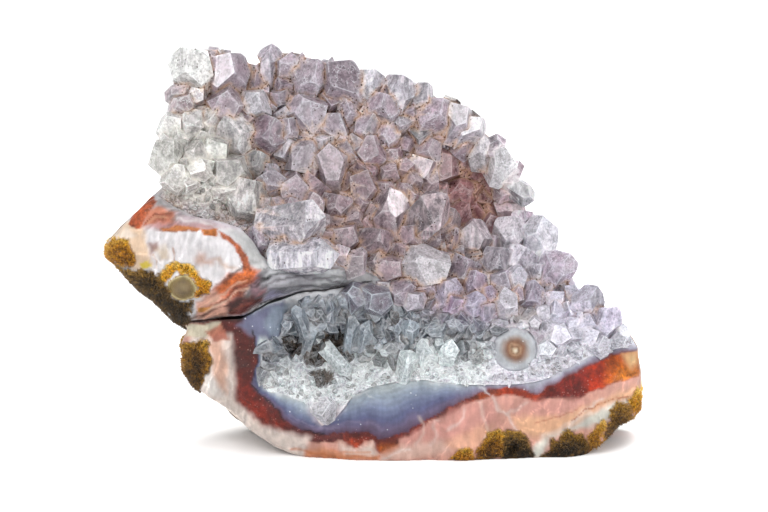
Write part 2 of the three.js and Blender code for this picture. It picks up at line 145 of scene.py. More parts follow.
# The stone's outline, clockwise from its top left corner, past the resting plane below
OUTLINE_PX = [
    (180, 51), (208, 50), (213, 55), (222, 50), (240, 55), (259, 59), (268, 49), (284, 53),
    (295, 52), (320, 61), (345, 67), (360, 76), (385, 80), (415, 82), (437, 99), (460, 107),
    (475, 120), (485, 133), (500, 146), (511, 156), (515, 172), (528, 193), (525, 203),
    (515, 212), (531, 223), (544, 222), (551, 245), (568, 263), (571, 277), (582, 294),
    (600, 302), (620, 320), (637, 347), (641, 380), (640, 408), (632, 418), (618, 423),
    (605, 438), (590, 451), (580, 470), (570, 540), (330, 540), (318, 480), (300, 457),
    (275, 447), (250, 430), (225, 407), (196, 388), (183, 369), (182, 342), (188, 328),
    (172, 318), (158, 303), (138, 287), (118, 267), (106, 255), (106, 243), (130, 222),
    (148, 200), (163, 187), (160, 150), (163, 125), (170, 100), (176, 75),
]

# Front surface: picture place and depth y, negative towards the viewer
FRONT_POINTS = [
    (300, 455, -20), (380, 463, -22), (460, 457, -22), (520, 457, -20), (590, 450, -18),
    (640, 400, -12), (637, 350, -12), (250, 380, -21), (225, 400, -19), (300, 400, -22),
    (380, 420, -23), (450, 400, -22), (550, 400, -20), (600, 380, -17), (300, 345, -15),
    (350, 340, -13), (400, 350, -18), (450, 340, -18), (514, 350, -19), (580, 330, -15),
    (620, 335, -11), (300, 305, -16), (350, 295, -14), (400, 300, -13), (450, 300, -14),
    (500, 290, -12), (560, 290, -8), (450, 245, -5), (500, 235, 0), (540, 235, 0),
    (470, 200, 6), (500, 215, 6), (450, 175, 5), (485, 180, 6), (500, 155, 0), (480, 130, 0),
    (522, 190, 1), (440, 120, 0), (400, 130, -1), (350, 100, 0), (300, 80, 0), (270, 60, 2),
    (220, 70, -1), (190, 65, -3), (175, 120, -8), (175, 175, -13), (200, 190, -14),
    (250, 150, -5), (300, 150, -4), (350, 180, -4), (400, 200, -6), (350, 220, -8),
    (420, 215, -9), (300, 250, -17), (325, 268, -18), (420, 265, -12), (240, 240, -16),
    (200, 340, -17), (260, 330, -18), (190, 370, -17), (250, 205, -9),
]

# Back surface, in the same form
BACK_POINTS = [
    (200, 90, 9), (300, 100, 13), (400, 120, 14), (480, 160, 13), (200, 170, 7), (300, 180, 16),
    (400, 190, 19), (500, 220, 14), (130, 240, -3), (200, 260, 6), (300, 270, 20),
    (400, 270, 22), (500, 290, 20), (590, 330, 12), (250, 350, 15), (350, 360, 23),
    (450, 370, 24), (550, 370, 19), (620, 380, 8), (300, 440, 19), (400, 450, 23),
    (500, 450, 22), (580, 450, 15), (220, 400, 6),
]

# The upper left block, with a broken face of its own
BLOCK_PX = [
    (131, 217), (146, 203), (158, 196), (176, 208), (196, 217), (222, 222), (240, 228),
    (252, 240), (262, 256), (280, 268), (300, 274), (330, 272), (346, 277), (340, 285),
    (300, 289), (278, 295), (262, 302), (250, 309), (238, 316), (214, 318), (186, 322),
    (172, 317), (158, 302), (138, 286), (118, 266), (107, 255), (107, 243),
]
BLOCK_FRONT_POINTS = [
    (110, 245, -15), (125, 262, -17), (150, 215, -17), (160, 200, -15), (200, 220, -20),
    (200, 245, -22), (240, 240, -20), (240, 270, -22), (190, 285, -22), (150, 280, -19),
    (185, 318, -19), (235, 300, -20), (262, 280, -20), (320, 280, -18), (225, 315, -18),
]

# The crack between the two blocks
CRACK_PX = [
    (176, 321.4), (215, 319), (224, 316.8), (244, 315.4), (256, 309.4), (267, 302.5),
    (278, 298), (300, 291.4), (330, 288.8), (352, 284.9), (372, 280.2), (372, 281),
    (352, 285.9), (330, 289.8), (300, 292.6), (280, 300.5), (268, 304), (256, 311),
    (240, 319), (224, 319.5), (215, 320), (178, 322.4),
]

# Where crystals line the rock
CRUST_PX = [
    (150, 183), (140, 120), (160, 30), (300, 30), (420, 60), (540, 130), (560, 205),
    (650, 300), (665, 336), (640, 345), (628, 346), (600, 353), (574, 364), (562, 371),
    (549, 378), (535, 382), (520, 384), (500, 385), (475, 385), (440, 383), (425, 380),
    (400, 381), (372, 387), (352, 397), (344, 408), (334, 420), (322, 426), (312, 415),
    (304, 402), (290, 398), (268, 392), (259, 380), (262, 345), (280, 336), (284, 314),
    (304, 300), (335, 296), (362, 290), (385, 280), (362, 270), (345, 268), (325, 264),
    (298, 266), (276, 266), (264, 252), (250, 236), (230, 226), (198, 218), (176, 208),
    (162, 200),
]

# Lumps and hollows of the front: picture place, radius and height
LUMPS = [
    (118, 252, 3.2, 1.2), (182, 287, 3.4, 1.2), (198, 360, 3.2, 0.9), (506, 450, 5, 1.1),
    (512, 450, 2, -2), (568, 453, 5, 1.4), (620, 410, 2.6, 1), (600, 435, 3, 0.7),
    (462, 452, 3, 0.8), (300, 340, 4.5, -2), (322, 366, 3.5, -1.6), (380, 300, 5, 1),
    (515, 349, 4.4, 0.8), (425, 365, 5, 1), (300, 425, 6, 0.8), (400, 440, 7, 0.8),
    (330, 278, 3, 0.8), (212, 255, 6, 0.7), (336, 342, 2.6, -1.6), (316, 356, 2.2, -1.4),
    (325, 378, 2.2, -1.2), (290, 306, 2.2, -1.2),
]

# The lower block's bands: the line between pink and red, between red and blue-grey, and
# between blue-grey and the pale quartz
RED_EDGE_PX = [
    (190, 322), (222, 325), (228, 338), (231, 360), (231, 380), (236, 408), (255, 420), (266, 432),
    (271, 440), (277, 436), (284, 440), (300, 437), (318, 443), (330, 441), (342, 440),
    (350, 447), (357, 447), (363, 440), (372, 439), (376, 450), (383, 455), (390, 460),
    (396, 455), (400, 447), (399, 438), (410, 435), (422, 428), (428, 420), (440, 418),
    (452, 417), (463, 405), (480, 400), (495, 398), (510, 395), (530, 398), (540, 402),
    (550, 398), (565, 400), (573, 404), (580, 400), (588, 393), (600, 388), (625, 379),
    (660, 366),
]
BLUE_EDGE_PX = [
    (200, 305), (240, 318), (255, 335), (256, 345), (258, 360), (255, 370), (253, 385), (258, 393),
    (268, 400), (278, 410), (288, 422), (300, 428), (320, 435), (350, 433), (365, 430),
    (380, 438), (395, 436), (405, 432), (420, 422), (440, 412), (462, 402), (475, 395),
    (490, 390), (510, 388), (530, 392), (540, 393), (548, 386), (560, 380), (575, 370),
    (590, 363), (605, 358), (620, 353), (660, 345),
]
PALE_EDGE_PX = [
    (240, 290), (262, 318), (258, 345), (262, 372), (270, 390), (290, 398), (315, 402), (330, 396),
    (345, 392), (365, 384), (400, 378), (420, 375), (440, 378), (470, 381), (520, 381),
    (535, 379), (550, 375), (570, 365), (600, 350), (630, 343), (660, 338),
]

# Single crystals: picture place, width, the way the point leans in the picture (degrees from
# the right, anticlockwise), its tilt from the line of sight, its length, and from 0 to 1 how
# mauve and how milky it is
CRYSTALS = [
    (193, 68, 7.2, 95, 38, 2.6, 0.05, 0.95), (225, 77, 7.4, 80, 45, 3.2, 0.6, 0.5),
    (226, 110, 6.6, 75, 35, 2.8, 0.75, 0.6), (256, 107, 5.0, 330, 30, 2.6, 0.05, 0.8),
    (237, 135, 6.2, 120, 40, 2.8, 0.2, 0.3), (269, 135, 6.2, 60, 45, 2.8, 1.0, 0.4),
    (304, 158, 6.0, 235, 40, 2.6, 0.3, 0.5), (330, 163, 6.4, 90, 45, 3.2, 0.35, 0.5),
    (309, 116, 6.6, 20, 45, 2.8, 0.5, 0.5), (270, 64, 4.6, 85, 65, 2.8, 0.4, 0.3),
    (288, 66, 4.2, 80, 55, 2.2, 0.6, 0.6), (312, 79, 5.6, 70, 45, 2.8, 0.5, 0.6),
    (342, 84, 7.0, 120, 50, 3.0, 0.6, 0.6), (369, 88, 5.0, 75, 55, 2.8, 0.1, 0.2),
    (254, 166, 4.4, 60, 45, 2.8, 0.1, 0.3), (228, 171, 5.6, 130, 35, 2.8, 0.2, 0.4),
    (247, 197, 7.0, 60, 40, 3.2, 0.25, 0.2), (292, 224, 6.6, 8, 62, 7.0, 0.1, 0.1),
    (306, 256, 5.6, 2, 75, 7.0, 0.1, 0.1), (335, 207, 4.8, 80, 40, 3.0, 0.6, 0.6),
    (292, 190, 5.4, 80, 40, 2.2, 0.5, 0.5), (270, 186, 4.8, 130, 40, 2.2, 0.5, 0.5),
    (312, 190, 4.8, 40, 40, 2.2, 0.6, 0.5), (287, 131, 4.4, 75, 40, 2.2, 0.5, 0.5),
    (385, 110, 6.0, 80, 40, 2.8, 0.6, 0.6), (351, 111, 5.4, 100, 40, 2.2, 0.5, 0.6),
    (370, 126, 5.2, 60, 40, 2.2, 0.6, 0.6), (332, 127, 5.6, 120, 40, 2.2, 0.5, 0.6),
    (386, 131, 5.0, 80, 40, 2.2, 0.6, 0.6), (365, 190, 5.6, 80, 45, 2.8, 0.7, 0.5),
    (391, 216, 5.8, 95, 60, 5.0, 0.4, 0.3), (424, 218, 6.8, 42, 60, 5.0, 0.25, 0.2),
    (427, 152, 4.8, 60, 40, 2.8, 0.5, 0.5), (444, 165, 6.4, 200, 40, 2.8, 0.5, 0.5),
    (432, 115, 6.4, 60, 45, 2.8, 0.6, 0.8), (456, 121, 5.2, 50, 55, 2.8, 0.4, 0.5),
    (500, 162, 4.8, 75, 50, 3.0, 0.0, 0.6), (481, 151, 4.0, 100, 45, 2.4, 0.0, 0.6),
    (519, 192, 3.6, 325, 70, 3.0, 0.0, 0.05), (472, 241, 6.2, 100, 40, 2.8, 0.15, 0.3),
    (508, 237, 6.2, 80, 50, 3.2, 0.1, 0.7), (538, 240, 6.0, 75, 55, 3.4, 0.05, 0.5),
    (497, 263, 5.4, 80, 40, 2.8, 0.3, 0.4), (518, 262, 5.0, 60, 40, 2.6, 0.3, 0.4),
    (424, 267, 7.2, 12, 50, 3.6, 0.0, 0.6), (556, 270, 5.6, 60, 55, 3.0, 0.6, 0.5),
    (474, 305, 3.6, 45, 40, 2.2, 0.0, 0.6), (505, 307, 4.2, 95, 60, 3.6, 0.1, 0.6),
    (460, 191, 4.6, 200, 40, 2.2, 0.6, 0.5), (585, 303, 4.6, 60, 60, 2.2, 0.3, 0.4),
    (605, 318, 4.6, 50, 60, 2.2, 0.3, 0.4), (412, 240, 5.0, 80, 45, 2.2, 0.5, 0.4),
    (375, 245, 5.6, 70, 45, 2.8, 0.5, 0.4), (345, 240, 5.0, 60, 45, 2.2, 0.5, 0.4),
    (400, 95, 5.4, 80, 50, 2.8, 0.2, 0.3), (420, 100, 4.6, 60, 50, 2.2, 0.2, 0.3),
    (470, 131, 4.4, 50, 50, 2.4, 0.3, 0.4),
]

# Single crystals of the broken zone, in the same form
EXTRA_CRYSTALS = [
    (335, 359, 2.8, 312, 72, 4.6, 0.0, 0.7), (323, 412, 4.2, 250, 15, 0.4, 0.0, 1.0),
    (352, 330, 2.6, 80, 65, 3.4, 0.0, 0.3), (309, 333, 2.6, 70, 65, 3.0, 0.0, 0.3),
    (366, 334, 2.4, 75, 60, 2.8, 0.0, 0.7), (410, 332, 2.8, 85, 60, 2.6, 0.0, 0.8),
    (408, 362, 3.2, 80, 55, 2.4, 0.0, 0.8), (425, 352, 2.8, 95, 55, 2.4, 0.0, 0.7),
    (448, 352, 3.0, 70, 55, 2.2, 0.0, 0.8), (300, 318, 2.6, 110, 60, 2.6, 0.1, 0.3),
    (456, 104, 1.5, 338, 80, 0.2, 0.5, 0.9), (480, 121, 1.3, 320, 80, 0.2, 0.5, 0.9),
]

# Crystals scattered over the rest of the crust, inside a picture window
SCATTER_WINDOW_PX = (140, 660, 40, 420)
SCATTER_TRIES = 5200
SCATTER_SEED = 20261
SCATTER_SPACING = 0.95      # centre distance over mean width
SCATTER_TILT = 0.42         # sideways lean of a crystal's axis
SCATTER_LENGTH = (0.15, 0.5)
SCATTER_WIDTH = (0.8, 1.4)
CRYSTAL_WIDTH = 4.8
CRUST_EDGE_ROOM = 1.3
OUTLINE_ROOM = 0.3          # from the outline to a crystal's middle, of its width
BROKEN_CRYSTAL_SHARE = 0.88
BROKEN_ZONES_PX = [
    [(150, 118), (215, 120), (262, 150), (262, 215), (200, 216), (150, 200)],
    [(262, 300), (375, 286), (420, 320), (500, 330), (640, 335), (640, 360), (262, 410)],
]
SUGAR_ZONES_PX = [
    [(152, 178), (190, 180), (215, 188), (240, 200), (266, 214), (262, 240), (200, 220), (150, 204)],
    [(255, 372), (300, 356), (420, 354), (500, 348), (536, 352), (600, 340), (650, 330),
     (650, 370), (520, 392), (262, 412)],
]
WHITE_ZONE_PX = [(150, 118), (215, 112), (246, 140), (250, 210), (215, 190), (150, 180)]
FRAGMENT_ZONE_PX = [(258, 300), (300, 290), (375, 284), (400, 300), (440, 306), (490, 314), (524, 306),
                    (536, 330), (536, 356), (300, 362), (258, 380)]
RIGHT_ZONE_PX = [(528, 304), (552, 280), (600, 296), (645, 338), (600, 346), (560, 356), (538, 358)]
DRUSE_ZONE_PX = [(140, 30), (560, 30), (660, 320), (600, 306), (530, 302), (490, 314), (400, 300),
                 (300, 300), (240, 260), (262, 210), (250, 140), (215, 112), (160, 120)]
CLEAN_ZONES_PX = [
    [(146, 190), (160, 116), (214, 120), (240, 150), (256, 216), (200, 216)],
    [(250, 300), (300, 288), (375, 284), (420, 300), (500, 310), (560, 300), (600, 320), (660, 330),
     (660, 370), (520, 400), (320, 430), (250, 400)],
    [(466, 110), (520, 130), (560, 215), (580, 270), (500, 280), (490, 230), (508, 205), (486, 160)],
]
CLEANNESS = 0.85
# Fill: zone (None is everywhere), kind, tries, widths in mm, spacing
FILLS = [
    (WHITE_ZONE_PX, "white", 4000, (4.2, 5.6), 0.62),
    (WHITE_ZONE_PX, "white", 5000, (2.2, 3.2), 0.6),
    (RIGHT_ZONE_PX, "white", 4000, (3.2, 4.6), 0.6),
    (RIGHT_ZONE_PX, "white", 4000, (1.8, 2.8), 0.58),
    (DRUSE_ZONE_PX, "point", 7000, (3.2, 5.2), 0.6),
    (DRUSE_ZONE_PX, "point", 5000, (2.2, 3.2), 0.74),
    (FRAGMENT_ZONE_PX, "shard", 12000, (1.2, 2.3), 0.6),
    (SUGAR_ZONES_PX[0], "grain", 9000, (0.9, 1.9), 0.55),
    (SUGAR_ZONES_PX[1], "grain", 16000, (0.6, 1.3), 0.55),
    (None, "point", 9000, (1.5, 2.6), 0.8),
]
FILL_LOOKS = {"point": ((0.1, 0.9), (0.2, 0.8)), "white": ((0, 0.3), (0.3, 1)),
              "shard": ((0, 0.25), (0, 0.8)), "grain": ((0, 0.25), (0.5, 1))}
POINT_GROWTH = 1.1          # so that neighbours grow into each other
CRYSTAL_TONES = {"point": (0.88, 1.06), "white": (0.94, 1.06), "shard": (0.3, 1.02),
                 "grain": (0.36, 1.02)}
FILL_LENGTH = (0.12, 0.42)    # of a filling crystal's width
BROKEN_GRAIN = 0.5          # graininess of the fragments
RAGGED_EDGE = (-0.5, 0.9)    # how far the fill stays from the crust's edge, in mm
FRAGMENT_REACH = {"shard": 1.15, "grain": 0.72}  # longest reach from the middle, of the width
FRAGMENT_FACES = (0.7, 1.1)  # distance of their faces, of half the width
SHARD_STRETCH = 0.8

PLAIN_TINT = (217, 215, 221)
# Tint of the quartz by zone, with painted shade in its hollows and recess: colour, strength, edge softness
# in mm and corners in pixels
CRUST_TINTS_AND_SHADE = [
    ((188, 156, 153), 0.45, 8, [(300, 165), (430, 140), (446, 230), (400, 282), (330, 258), (286, 210)]),
    # Reddish and darker in the recess: partly the quartz's own colour, partly painted shade
    ((208, 156, 150), 0.85, 5, [(430, 172), (452, 150), (500, 165), (520, 200), (512, 230), (470, 236),
        (442, 216)]),
    ((230, 230, 222), 0.9, 5, [(150, 170), (172, 118), (215, 112), (254, 146), (262, 215), (200, 216),
        (150, 200)]),
    ((236, 238, 234), 0.8, 5, [(160, 60), (200, 45), (216, 120), (150, 160)]),
    ((250, 250, 254), 0.9, 4, [(466, 116), (520, 130), (540, 200), (508, 212), (486, 160)]),
    ((200, 190, 214), 0.8, 6, [(420, 286), (500, 280), (500, 320), (470, 344), (424, 320)]),
    ((246, 246, 254), 0.9, 6, [(500, 214), (552, 214), (580, 270), (516, 280)]),
    ((222, 222, 237), 0.9, 6, [(516, 280), (580, 270), (650, 340), (560, 346)]),
    ((146, 160, 170), 0.9, 5, [(258, 300), (300, 290), (375, 284), (420, 310), (500, 330), (536, 350),
        (300, 362), (258, 380)]),
    ((230, 240, 242), 0.95, 4, [(258, 372), (300, 356), (420, 346), (500, 342), (536, 352), (600, 340),
        (650, 330), (650, 370), (520, 392), (262, 412)]),
    ((222, 224, 235), 0.9, 4, [(492, 342), (536, 352), (600, 340), (650, 330), (650, 370), (520, 392),
        (486, 392)]),
    # Near-black painted shade in the hollows among the fragments
    ((22, 21, 20), 1.0, 0.5, [(282, 336), (300, 338), (316, 335), (314, 352), (298, 354), (284, 351)]),
    ((26, 24, 22), 1.0, 0.5, [(323, 330), (344, 329), (347, 342), (354, 354), (347, 362), (334, 350),
        (325, 348)]),
    ((34, 33, 32), 1.0, 0.5, [(303, 348), (327, 346), (330, 360), (318, 368), (304, 362)]),
    ((52, 54, 52), 1.0, 0.5, [(308, 372), (320, 369), (334, 372), (333, 384), (318, 387)]),
    ((66, 26, 12), 1.0, 0.4, [(449, 97), (462, 99), (462, 110), (449, 108)]),
    ((66, 26, 12), 1.0, 0.4, [(474, 114), (486, 117), (486, 128), (474, 126)]),
    # Dark grey painted shade in the hollow beside the crack
    ((84, 86, 88), 0.8, 1.2, [(280, 300), (298, 298), (296, 314), (282, 314)]),
]
NORMAL_REACH = 2.5          # half the span over which the surface's slope is taken
ROOT_DEPTH = 2.4            # how deep a crystal starts below its middle
RIM_INSET = 1.0             # of the crust's skin from the outline
EYE_SIDES = 40
BED_LOOK = 0.5              # mauve, milk and facet of the skin between the crystals
STAIN_SOFTNESS = 6
SUGAR_SOFTNESS = 3
CRUST_DEPTH = 2.6           # the crust's own thickness, most of it inside the rock

# Crystal shape, as shares of the width
PLANE_COUNT = 13            # six sides, six faces of the point and the root
PLANE_TRIPLES = np.array([(a, b, c) for a in range(PLANE_COUNT) for b in range(a) for c in range(b)])
POINTED = ("point", "white")  # the kinds with a crystal's shape; the others are fragments
FACE_VALUES = ("mauve", "milk", "facet", "number")
BED_NUMBER = -1.0           # number of the faces between the crystals
PYRAMID_TILT = math.radians(51.8)
POINT_HEIGHT = 0.62
LARGE_FACE = (0.7, 1.0)     # height of the three large faces of the point
SMALL_FACE = (1.1, 1.6)     # and of the three small ones
SIDE_SPREAD = 0.2
FACE_SPREAD = 0.06

# Paint of the stone: colour, strength, edge softness in mm and the patch's corners in pixels,
# each over the ones before
PAINTS = [
    # lower block, pink and cream chalcedony
    ((238, 222, 212), 1.0, 1.7, [(190, 335), (232, 335), (236, 400), (260, 425), (310, 438), (300, 470),
        (240, 430), (190, 385)]),
    ((234, 180, 152), 0.8, 1.7, [(205, 340), (222, 338), (228, 365), (226, 392), (214, 380), (212, 355)]),
    ((244, 236, 230), 0.9, 1.4, [(203, 372), (212, 372), (222, 396), (212, 396), (203, 386)]),
    ((222, 160, 148), 0.9, 1.9, [(400, 440), (430, 422), (465, 404), (498, 401), (500, 425), (470, 432),
        (440, 446), (405, 448)]),
    ((226, 166, 152), 1.0, 1.7, [(498, 400), (560, 400), (600, 400), (560, 418), (514, 420)]),
    ((240, 188, 148), 0.9, 1.9, [(512, 416), (560, 416), (600, 400), (642, 384), (642, 398), (600, 408),
        (575, 426), (545, 438), (520, 432)]),
    ((236, 180, 148), 0.7, 1.9, [(440, 446), (480, 425), (494, 428), (486, 446), (455, 452)]),
    ((236, 200, 184), 0.8, 1.7, [(400, 446), (440, 440), (450, 452), (410, 460), (380, 462), (384, 454)]),
    ((230, 150, 100), 0.8, 1.4, [(310, 448), (340, 452), (380, 456), (380, 462), (300, 460)]),
    ((243, 226, 214), 0.9, 1.5, [(340, 444), (356, 450), (372, 442), (378, 456), (345, 456)]),
    ((228, 226, 214), 1.0, 1.5, [(532, 446), (548, 436), (572, 428), (590, 414), (612, 404), (634, 400),
        (616, 414), (598, 424), (570, 432), (550, 438), (540, 458), (534, 458)]),
    # cream sliver and the stone behind it
    ((226, 216, 190), 1.0, 0.5, [(186, 324), (222, 322), (222, 330), (205, 338), (186, 336)]),
    ((180, 100, 75), 0.9, 0.6, [(205, 332), (222, 324), (230, 340), (214, 340)]),
    # upper left block
    ((238, 234, 236), 1.0, 1.2, [(140, 224), (240, 224), (258, 262), (238, 280), (205, 294), (170, 300),
        (140, 262)]),
    ((205, 205, 204), 0.9, 1.6, [(228, 226), (246, 232), (258, 250), (264, 268), (250, 268), (240, 244)]),
    ((243, 212, 182), 1.0, 1.4, [(104, 240), (128, 222), (144, 226), (146, 244), (152, 266), (140, 272),
        (120, 262)]),
    ((250, 238, 226), 0.7, 1.2, [(112, 236), (128, 228), (136, 234), (128, 240)]),
    ((194, 92, 48), 1.0, 0.4, [(129, 226), (132, 216), (150, 196), (158, 200), (150, 212), (142, 225),
        (138, 228)]),
    ((202, 120, 84), 0.9, 1.4, [(142, 226), (148, 210), (160, 204), (176, 212), (174, 226)]),
    ((170, 84, 56), 0.6, 1.1, [(152, 222), (158, 214), (172, 212), (170, 220)]),
    ((206, 186, 192), 0.9, 1.2, [(174, 212), (205, 218), (240, 226), (216, 228), (176, 224)]),
    ((192, 140, 140), 0.8, 1.1, [(146, 229), (160, 222), (215, 224), (214, 229), (160, 230)]),
    ((206, 128, 74), 1.0, 0.35, [(160, 227), (180, 226), (200, 228), (196, 232), (166, 232)]),
    ((208, 122, 52), 1.0, 0.35, [(200, 229), (218, 228), (217, 236), (202, 235)]),
    ((194, 104, 64), 1.0, 0.4, [(218, 229), (230, 236), (243, 247), (250, 258), (252, 272), (243, 274),
        (240, 256), (232, 244), (220, 235)]),
    ((150, 96, 80), 0.8, 1.2, [(148, 244), (157, 242), (157, 249), (150, 256)]),
    ((216, 178, 112), 0.5, 1.8, [(155, 250), (166, 246), (170, 258), (160, 262)]),
    ((196, 132, 84), 0.6, 1.6, [(195, 259), (198, 252), (205, 253), (206, 258), (213, 259), (212, 264),
        (196, 264)]),
    ((204, 172, 150), 0.7, 1.1, [(212, 258), (220, 256), (226, 264), (240, 268), (226, 270)]),
    ((240, 214, 60), 0.9, 0.4, [(140, 262), (148, 260), (150, 268), (142, 270)]),
    ((218, 166, 146), 1.0, 1.2, [(196, 302), (212, 290), (230, 284), (232, 300), (226, 316), (206, 320),
        (196, 318)]),
    ((206, 106, 50), 1.0, 1.2, [(214, 288), (228, 274), (250, 268), (260, 270), (252, 284), (236, 290),
        (222, 296)]),
    ((186, 96, 68), 1.0, 1.2, [(220, 292), (240, 284), (252, 286), (240, 300), (226, 300)]),
    ((112, 56, 50), 1.0, 1.2, [(226, 300), (246, 296), (268, 286), (262, 302), (244, 312), (228, 316)]),
    ((152, 112, 124), 0.9, 1.4, [(250, 282), (258, 272), (268, 274), (264, 290), (252, 296)]),
    ((214, 142, 44), 0.9, 0.3, [(196, 312), (198, 307), (212, 306), (208, 312)]),
    ((124, 120, 146), 0.9, 1.4, [(262, 302), (268, 288), (292, 284), (300, 290), (276, 298)]),
    ((152, 151, 156), 1.0, 1.4, [(260, 286), (262, 270), (300, 266), (350, 266), (352, 286), (300, 292),
        (280, 292)]),
    ((190, 192, 194), 0.8, 1.2, [(312, 286), (318, 272), (340, 268), (348, 280), (330, 288)]),
    # smooth chalcedony below the crack
    ((122, 124, 152), 1.0, 1.4, [(236, 324), (256, 310), (284, 300), (286, 334), (268, 340), (250, 334)]),
    ((150, 164, 180), 0.8, 1.3, [(262, 326), (272, 308), (290, 304), (286, 330), (272, 336)]),
]
UPPER_GREY = (198, 197, 199)
RED_SHARE = (0.62, 0.72)    # redness of a colour where the red band's look begins and is whole
UPPER_SPLIT_EDGE = 0.4
UPPER_SPLIT_PX = [(60, 322), (186, 321), (224, 317), (250, 311), (286, 295), (352, 285), (372, 280),
                  (372, 20), (60, 20)]
# Thin marks, with painted shade along the crack: colour, half width in mm, strength and points in pixels
MARKS_AND_CRACK_SHADE = [
    # Painted shade: the crack's dark line and the darker wedge in it
    ((34, 24, 22), 0.22, 1.0, [(186, 322), (215, 319), (224, 317), (240, 316.5), (250, 312), (262, 304.5),
        (275, 298.5), (286, 296), (300, 292.5), (322, 290), (350, 286), (370, 281)]),
    ((48, 34, 32), 0.6, 0.9, [(220, 319), (230, 319), (240, 317)]),
    ((40, 26, 26), 0.16, 0.9, [(252, 330), (257, 350), (255, 372), (253, 386), (262, 396), (272, 404),
        (280, 415), (285, 421)]),
    ((26, 16, 20), 0.2, 0.9, [(306, 430), (314, 434), (323, 434)]),
    ((248, 234, 226), 0.30, 0.54, [(494, 398), (497, 406), (499, 411), (508, 414), (513, 424), (519, 436)]),
    ((246, 222, 208), 0.33, 0.48, [(481, 402), (484, 420), (488, 430), (485, 442)]),
    ((246, 226, 216), 0.30, 0.48, [(450, 430), (457, 424), (463, 417), (465, 409)]),
    ((250, 236, 226), 0.30, 0.54, [(602, 398), (588, 408), (580, 413), (572, 424), (567, 432)]),
    ((244, 222, 210), 0.30, 0.42, [(416, 444), (421, 434), (422, 424), (419, 416)]),
    ((246, 226, 216), 0.33, 0.42, [(430, 446), (436, 436), (434, 426), (438, 420)]),
    ((252, 240, 232), 0.33, 0.48, [(384, 462), (394, 454), (402, 449), (410, 449)]),
    ((246, 228, 218), 0.30, 0.42, [(508, 413), (519, 409), (527, 403)]),
    ((248, 234, 222), 0.38, 0.42, [(544, 436), (560, 429), (574, 421), (590, 412)]),
    ((176, 96, 60), 0.14, 0.8, [(572, 421), (585, 409), (600, 404), (616, 399), (632, 397)]),
    ((206, 120, 70), 0.3, 0.7, [(290, 449), (318, 454), (345, 458), (380, 458)]),
    ((226, 140, 92), 0.3, 0.6, [(330, 450), (350, 453), (370, 452)]),
    ((186, 110, 90), 0.15, 0.6, [(536, 424), (560, 416), (580, 408)]),
    ((140, 128, 158), 0.25, 0.6, [(312, 430), (334, 426), (356, 421), (372, 424), (382, 430)]),
    ((150, 140, 170), 0.22, 0.6, [(290, 414), (300, 420), (322, 428), (340, 428)]),
    ((222, 228, 232), 0.16, 0.7, [(360, 389), (366, 395), (372, 398)]),
    ((226, 230, 234), 0.18, 0.7, [(478, 386), (484, 391), (491, 397)]),
    ((228, 186, 160), 0.25, 0.7, [(208, 301), (226, 291), (246, 279)]),
    ((150, 74, 48), 0.2, 0.8, [(206, 306), (226, 297), (246, 284), (258, 276)]),
    ((232, 196, 172), 0.22, 0.7, [(204, 312), (220, 303), (236, 293), (250, 288)]),
    ((84, 40, 36), 0.22, 0.8, [(190, 319), (206, 314), (222, 306), (240, 303), (262, 294)]),
    ((136, 70, 56), 0.18, 0.7, [(228, 312), (244, 306), (262, 298)]),
    ((158, 100, 84), 0.2, 0.7, [(202, 296), (214, 289), (226, 280), (236, 274)]),
    ((96, 92, 98), 0.22, 0.8, [(262, 287), (280, 280), (300, 277), (330, 281), (346, 285)]),
    ((84, 82, 88), 0.26, 0.8, [(255, 297), (275, 289), (300, 285), (330, 287)]),
    ((228, 230, 232), 0.3, 0.7, [(266, 274), (288, 270), (318, 271), (340, 275)]),
    ((118, 92, 78), 0.18, 0.7, [(296, 271), (318, 267), (346, 269)]),
    ((170, 112, 70), 0.16, 0.7, [(172, 247), (174, 255), (175, 262)]),
    ((188, 140, 96), 0.16, 0.6, [(152, 256), (156, 262), (156, 268)]),
    ((160, 70, 40), 0.18, 0.8, [(146, 224), (152, 216), (160, 212), (170, 213)]),
    ((226, 168, 130), 0.2, 0.7, [(150, 222), (158, 215), (168, 217)]),
    ((236, 228, 226), 0.25, 0.7, [(176, 219), (195, 221), (214, 225)]),
    ((150, 90, 60), 0.16, 0.7, [(160, 230), (176, 232), (196, 231)]),
]
# The same for the red band, whose patches all have one softness
RED_SOFTNESS = 2.6
RED_PAINTS = [
    ((96, 29, 20), 1.0, [(220, 320), (262, 330), (262, 372), (226, 378)]),
    ((118, 35, 24), 0.9, [(226, 372), (262, 372), (262, 404), (230, 404)]),
    ((146, 42, 22), 1.0, [(232, 400), (248, 398), (286, 424), (290, 442), (262, 436)]),
    ((112, 51, 49), 0.9, [(286, 420), (345, 430), (345, 446), (300, 446)]),
    ((210, 79, 40), 0.9, [(346, 440), (364, 440), (358, 450), (350, 450)]),
    ((121, 44, 32), 0.8, [(364, 430), (405, 432), (400, 446), (376, 446)]),
    ((216, 110, 29), 1.0, [(380, 446), (398, 446), (396, 462), (384, 462)]),
    ((133, 35, 21), 1.0, [(400, 440), (400, 428), (465, 398), (476, 402), (440, 422)]),
    ((216, 92, 21), 1.0, [(474, 404), (480, 396), (500, 395), (502, 402)]),
    ((184, 60, 22), 1.0, [(500, 388), (545, 392), (548, 404), (500, 404)]),
    ((130, 30, 18), 1.0, [(540, 404), (545, 384), (592, 360), (596, 400), (570, 412)]),
    ((198, 55, 16), 1.0, [(586, 400), (588, 360), (610, 352), (610, 400)]),
    ((216, 96, 16), 1.0, [(604, 396), (606, 352), (642, 345), (642, 385)]),
    ((227, 130, 19), 0.9, [(612, 384), (618, 366), (642, 366), (642, 382)]),
    ((238, 198, 144), 1.0, [(624, 354), (637, 350), (640, 362), (630, 368), (626, 362)]),
]

